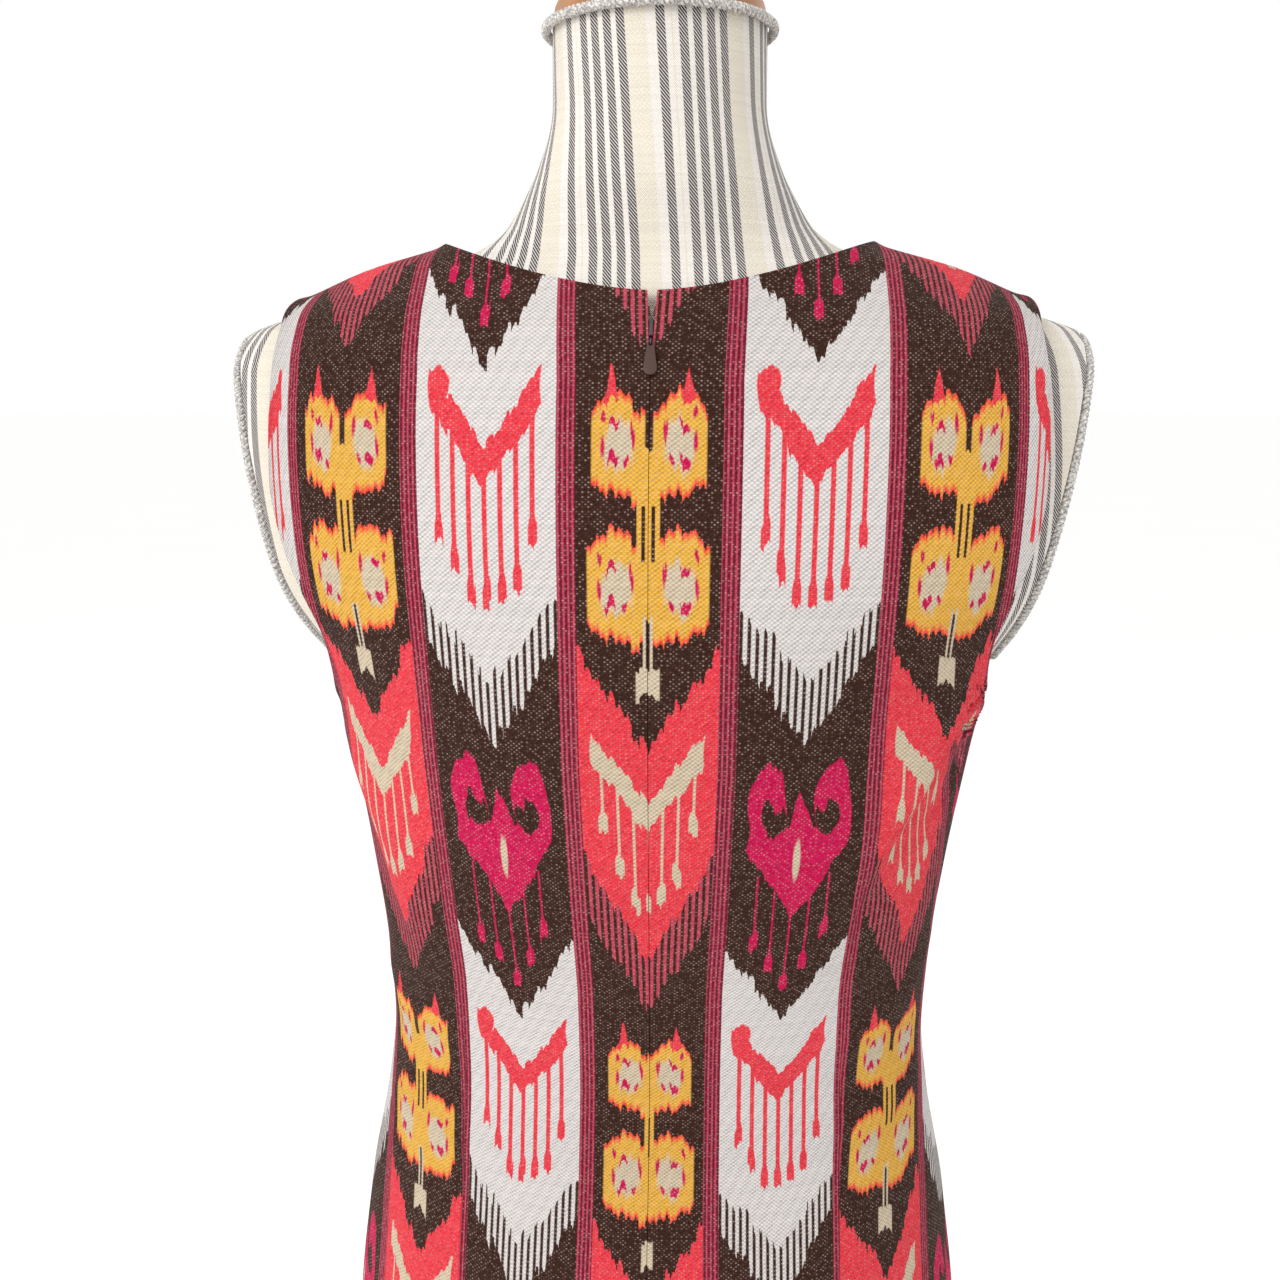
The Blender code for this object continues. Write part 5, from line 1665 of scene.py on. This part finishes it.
class DRESS_OT_turn_stand(bpy.types.Operator):
    """Turn the neck cap and the base, and fit the flange and pole."""

    bl_idname = "dress.turn_stand"
    bl_label = "Cap, pole and base"

    def execute(self, context):
        wood, steel = turned_wood(), brushed_steel()
        edge = float(lookup(SECTIONS, "half_width", NECK_TOP)) - CAP_SET_BACK
        depth = float(lookup(SECTIONS, "back", NECK_TOP)) - CAP_SET_BACK
        foot = NECK_TOP + SEAM_GAP
        cap = [
            (edge * math.cos(angle), foot + CAP_FOOT_HEIGHT + CAP_RISE * math.sin(angle))
            for angle in np.linspace(math.pi / 2, 0.0, 20)
        ]
        cap += [(edge, foot), (0.0, foot)]
        mesh = turned("cap", cap, stretch=(1.0, depth / edge))
        put_on("cap", mesh, wood, replaces=["neck_cap"])

        top = FORM_BOTTOM - SEAM_GAP
        socket = POLE_RADIUS + FLANGE_SOCKET_WALL
        plate_foot = top - FLANGE_PLATE
        flange_foot = top - FLANGE_HEIGHT
        flange = [(0.0, top), (FLANGE_RADIUS, top), (FLANGE_RADIUS, plate_foot)]
        flange += [(socket, plate_foot - FLANGE_FILLET), (socket, flange_foot), (0.0, flange_foot)]
        put_on("flange", turned("flange", flange), steel, replaces=["form_flange"])

        pole_top = flange_foot - SEAM_GAP
        pole_foot = HUB_HEIGHT + SEAM_GAP
        pole = [(0.0, pole_top), (POLE_RADIUS, pole_top), (POLE_RADIUS, pole_foot), (0.0, pole_foot)]
        put_on("pole_tube", turned("pole_tube", pole), steel, replaces=["pole"])

        base = [(0.0, HUB_HEIGHT)]
        lip = HUB_TOP_RADIUS - HUB_LIP_RADIUS
        base += rounded(HUB_LIP_RADIUS, HUB_HEIGHT - HUB_LIP_RADIUS, lip, 90.0, 0.0)
        base += [(HUB_WAIST_RADIUS, HUB_WAIST_HEIGHT), (HUB_RADIUS, BASE_HEIGHT)]
        rim = BASE_RADIUS - BASE_EDGE_RADIUS
        base += rounded(BASE_EDGE_RADIUS, BASE_HEIGHT - BASE_EDGE_RADIUS, rim, 90.0, 0.0)
        base += [(BASE_RADIUS, BASE_FOOT_CHAMFER), (BASE_RADIUS - BASE_FOOT_CHAMFER, 0.0), (0.0, 0.0)]
        put_on("base_disc", turned("base_disc", base), wood, replaces=["base"])
        return {"FINISHED"}


class DRESS_OT_set_stage(bpy.types.Operator):
    """Lay the floor and set the lights and the camera."""

    bl_idname = "dress.set_stage"
    bl_label = "Stage"

    def execute(self, context):
        settings = context.scene.stage_settings
        bm = bmesh.new()
        bmesh.ops.create_circle(bm, cap_ends=True, radius=FLOOR_RADIUS, segments=96)
        mesh = finished_mesh(bm, "floor")
        finish = Finish("Pale floor", roughness=0.9)
        soft = finish.cloud(finish.object_place(), 1.2)
        mesh.materials.append(finish.coloured(finish.shaded(settings.floor, 1.0 + 0.02 * soft)))
        floor = bpy.data.objects.new("floor", mesh)
        context.scene.collection.objects.link(floor)

        world = bpy.data.worlds.new("Surroundings")
        world.use_nodes = True
        world.node_tree.nodes["Background"].inputs["Color"].default_value = (1.0, 1.0, 1.0, 1.0)
        world.node_tree.nodes["Background"].inputs["Strength"].default_value = settings.surroundings
        context.scene.world = world
        context.scene.view_settings.view_transform = "Standard"

        self.area_light("Key", KEY_PLACE, KEY_SIZE, settings.key_power)
        self.area_light("Fill", FILL_PLACE, FILL_SIZE, settings.fill_power)

        yaw, pitch = math.radians(CAMERA_YAW), math.radians(CAMERA_PITCH)
        level = Vector((math.sin(yaw), -math.cos(yaw), 0.0))
        forward = level * math.cos(pitch) - Vector((0.0, 0.0, math.sin(pitch)))
        right = forward.cross(Vector((0.0, 0.0, 1.0))).normalized()
        data = bpy.data.cameras.new("Camera")
        data.sensor_width = SENSOR_WIDTH
        data.lens = SENSOR_WIDTH * FOCAL_LENGTH_PX / PICTURE_WIDTH
        data.clip_start = 0.02
        camera = bpy.data.objects.new("Camera", data)
        context.scene.collection.objects.link(camera)
        axes = Matrix((right, right.cross(forward), -forward)).transposed()
        place = Vector((CAMERA_TARGET_X, 0.0, CAMERA_HEIGHT)) - CAMERA_DISTANCE * level
        camera.matrix_world = Matrix.Translation(place) @ axes.to_4x4()
        context.scene.camera = camera
        return {"FINISHED"}

    def area_light(self, name, place, size, power):
        """A soft square light that looks at the middle of the dress."""
        data = bpy.data.lights.new(name, "AREA")
        data.size = size
        data.energy = power
        light = bpy.data.objects.new(name, data)
        light.location = place
        towards = Vector(LIGHT_TARGET) - Vector(place)
        light.rotation_euler = towards.to_track_quat("-Z", "Y").to_euler()
        bpy.context.scene.collection.objects.link(light)


class DRESS_PT_pieces(bpy.types.Panel):
    """The dress form's pieces and settings."""

    bl_idname = "DRESS_PT_pieces"
    bl_label = "Dress form"
    bl_space_type = "VIEW_3D"
    bl_region_type = "UI"
    bl_category = "Dress form"

    def draw(self, context):
        for operator in OPERATORS:
            self.layout.operator(operator.bl_idname)
        for group in SETTINGS:
            box = self.layout.box()
            for name in SETTINGS[group].__annotations__:
                box.prop(getattr(context.scene, group), name)


SETTINGS = {
    "dress_sizes": DressSizes,
    "dress_colours": DressColours,
    "form_colours": FormColours,
    "stage_settings": StageSettings,
}
OPERATORS = (
    DRESS_OT_pad_form,
    DRESS_OT_cover_arm_ends,
    DRESS_OT_sew_panels,
    DRESS_OT_fit_zip,
    DRESS_OT_hang_pull,
    DRESS_OT_turn_stand,
    DRESS_OT_set_stage,
)


def register():
    for cls in (*SETTINGS.values(), *OPERATORS, DRESS_PT_pieces):
        bpy.utils.register_class(cls)
    for name, cls in SETTINGS.items():
        setattr(bpy.types.Scene, name, PointerProperty(type=cls))


def unregister():
    for name in SETTINGS:
        delattr(bpy.types.Scene, name)
    for cls in (DRESS_PT_pieces, *reversed(OPERATORS), *reversed(SETTINGS.values())):
        bpy.utils.unregister_class(cls)


def main():
    register()
    bpy.ops.dress.pad_form()
    bpy.ops.dress.cover_arm_ends()
    bpy.ops.dress.sew_panels()
    bpy.ops.dress.fit_zip()
    bpy.ops.dress.hang_pull()
    bpy.ops.dress.turn_stand()
    bpy.ops.dress.set_stage()


if __name__ == "__main__":
    main()
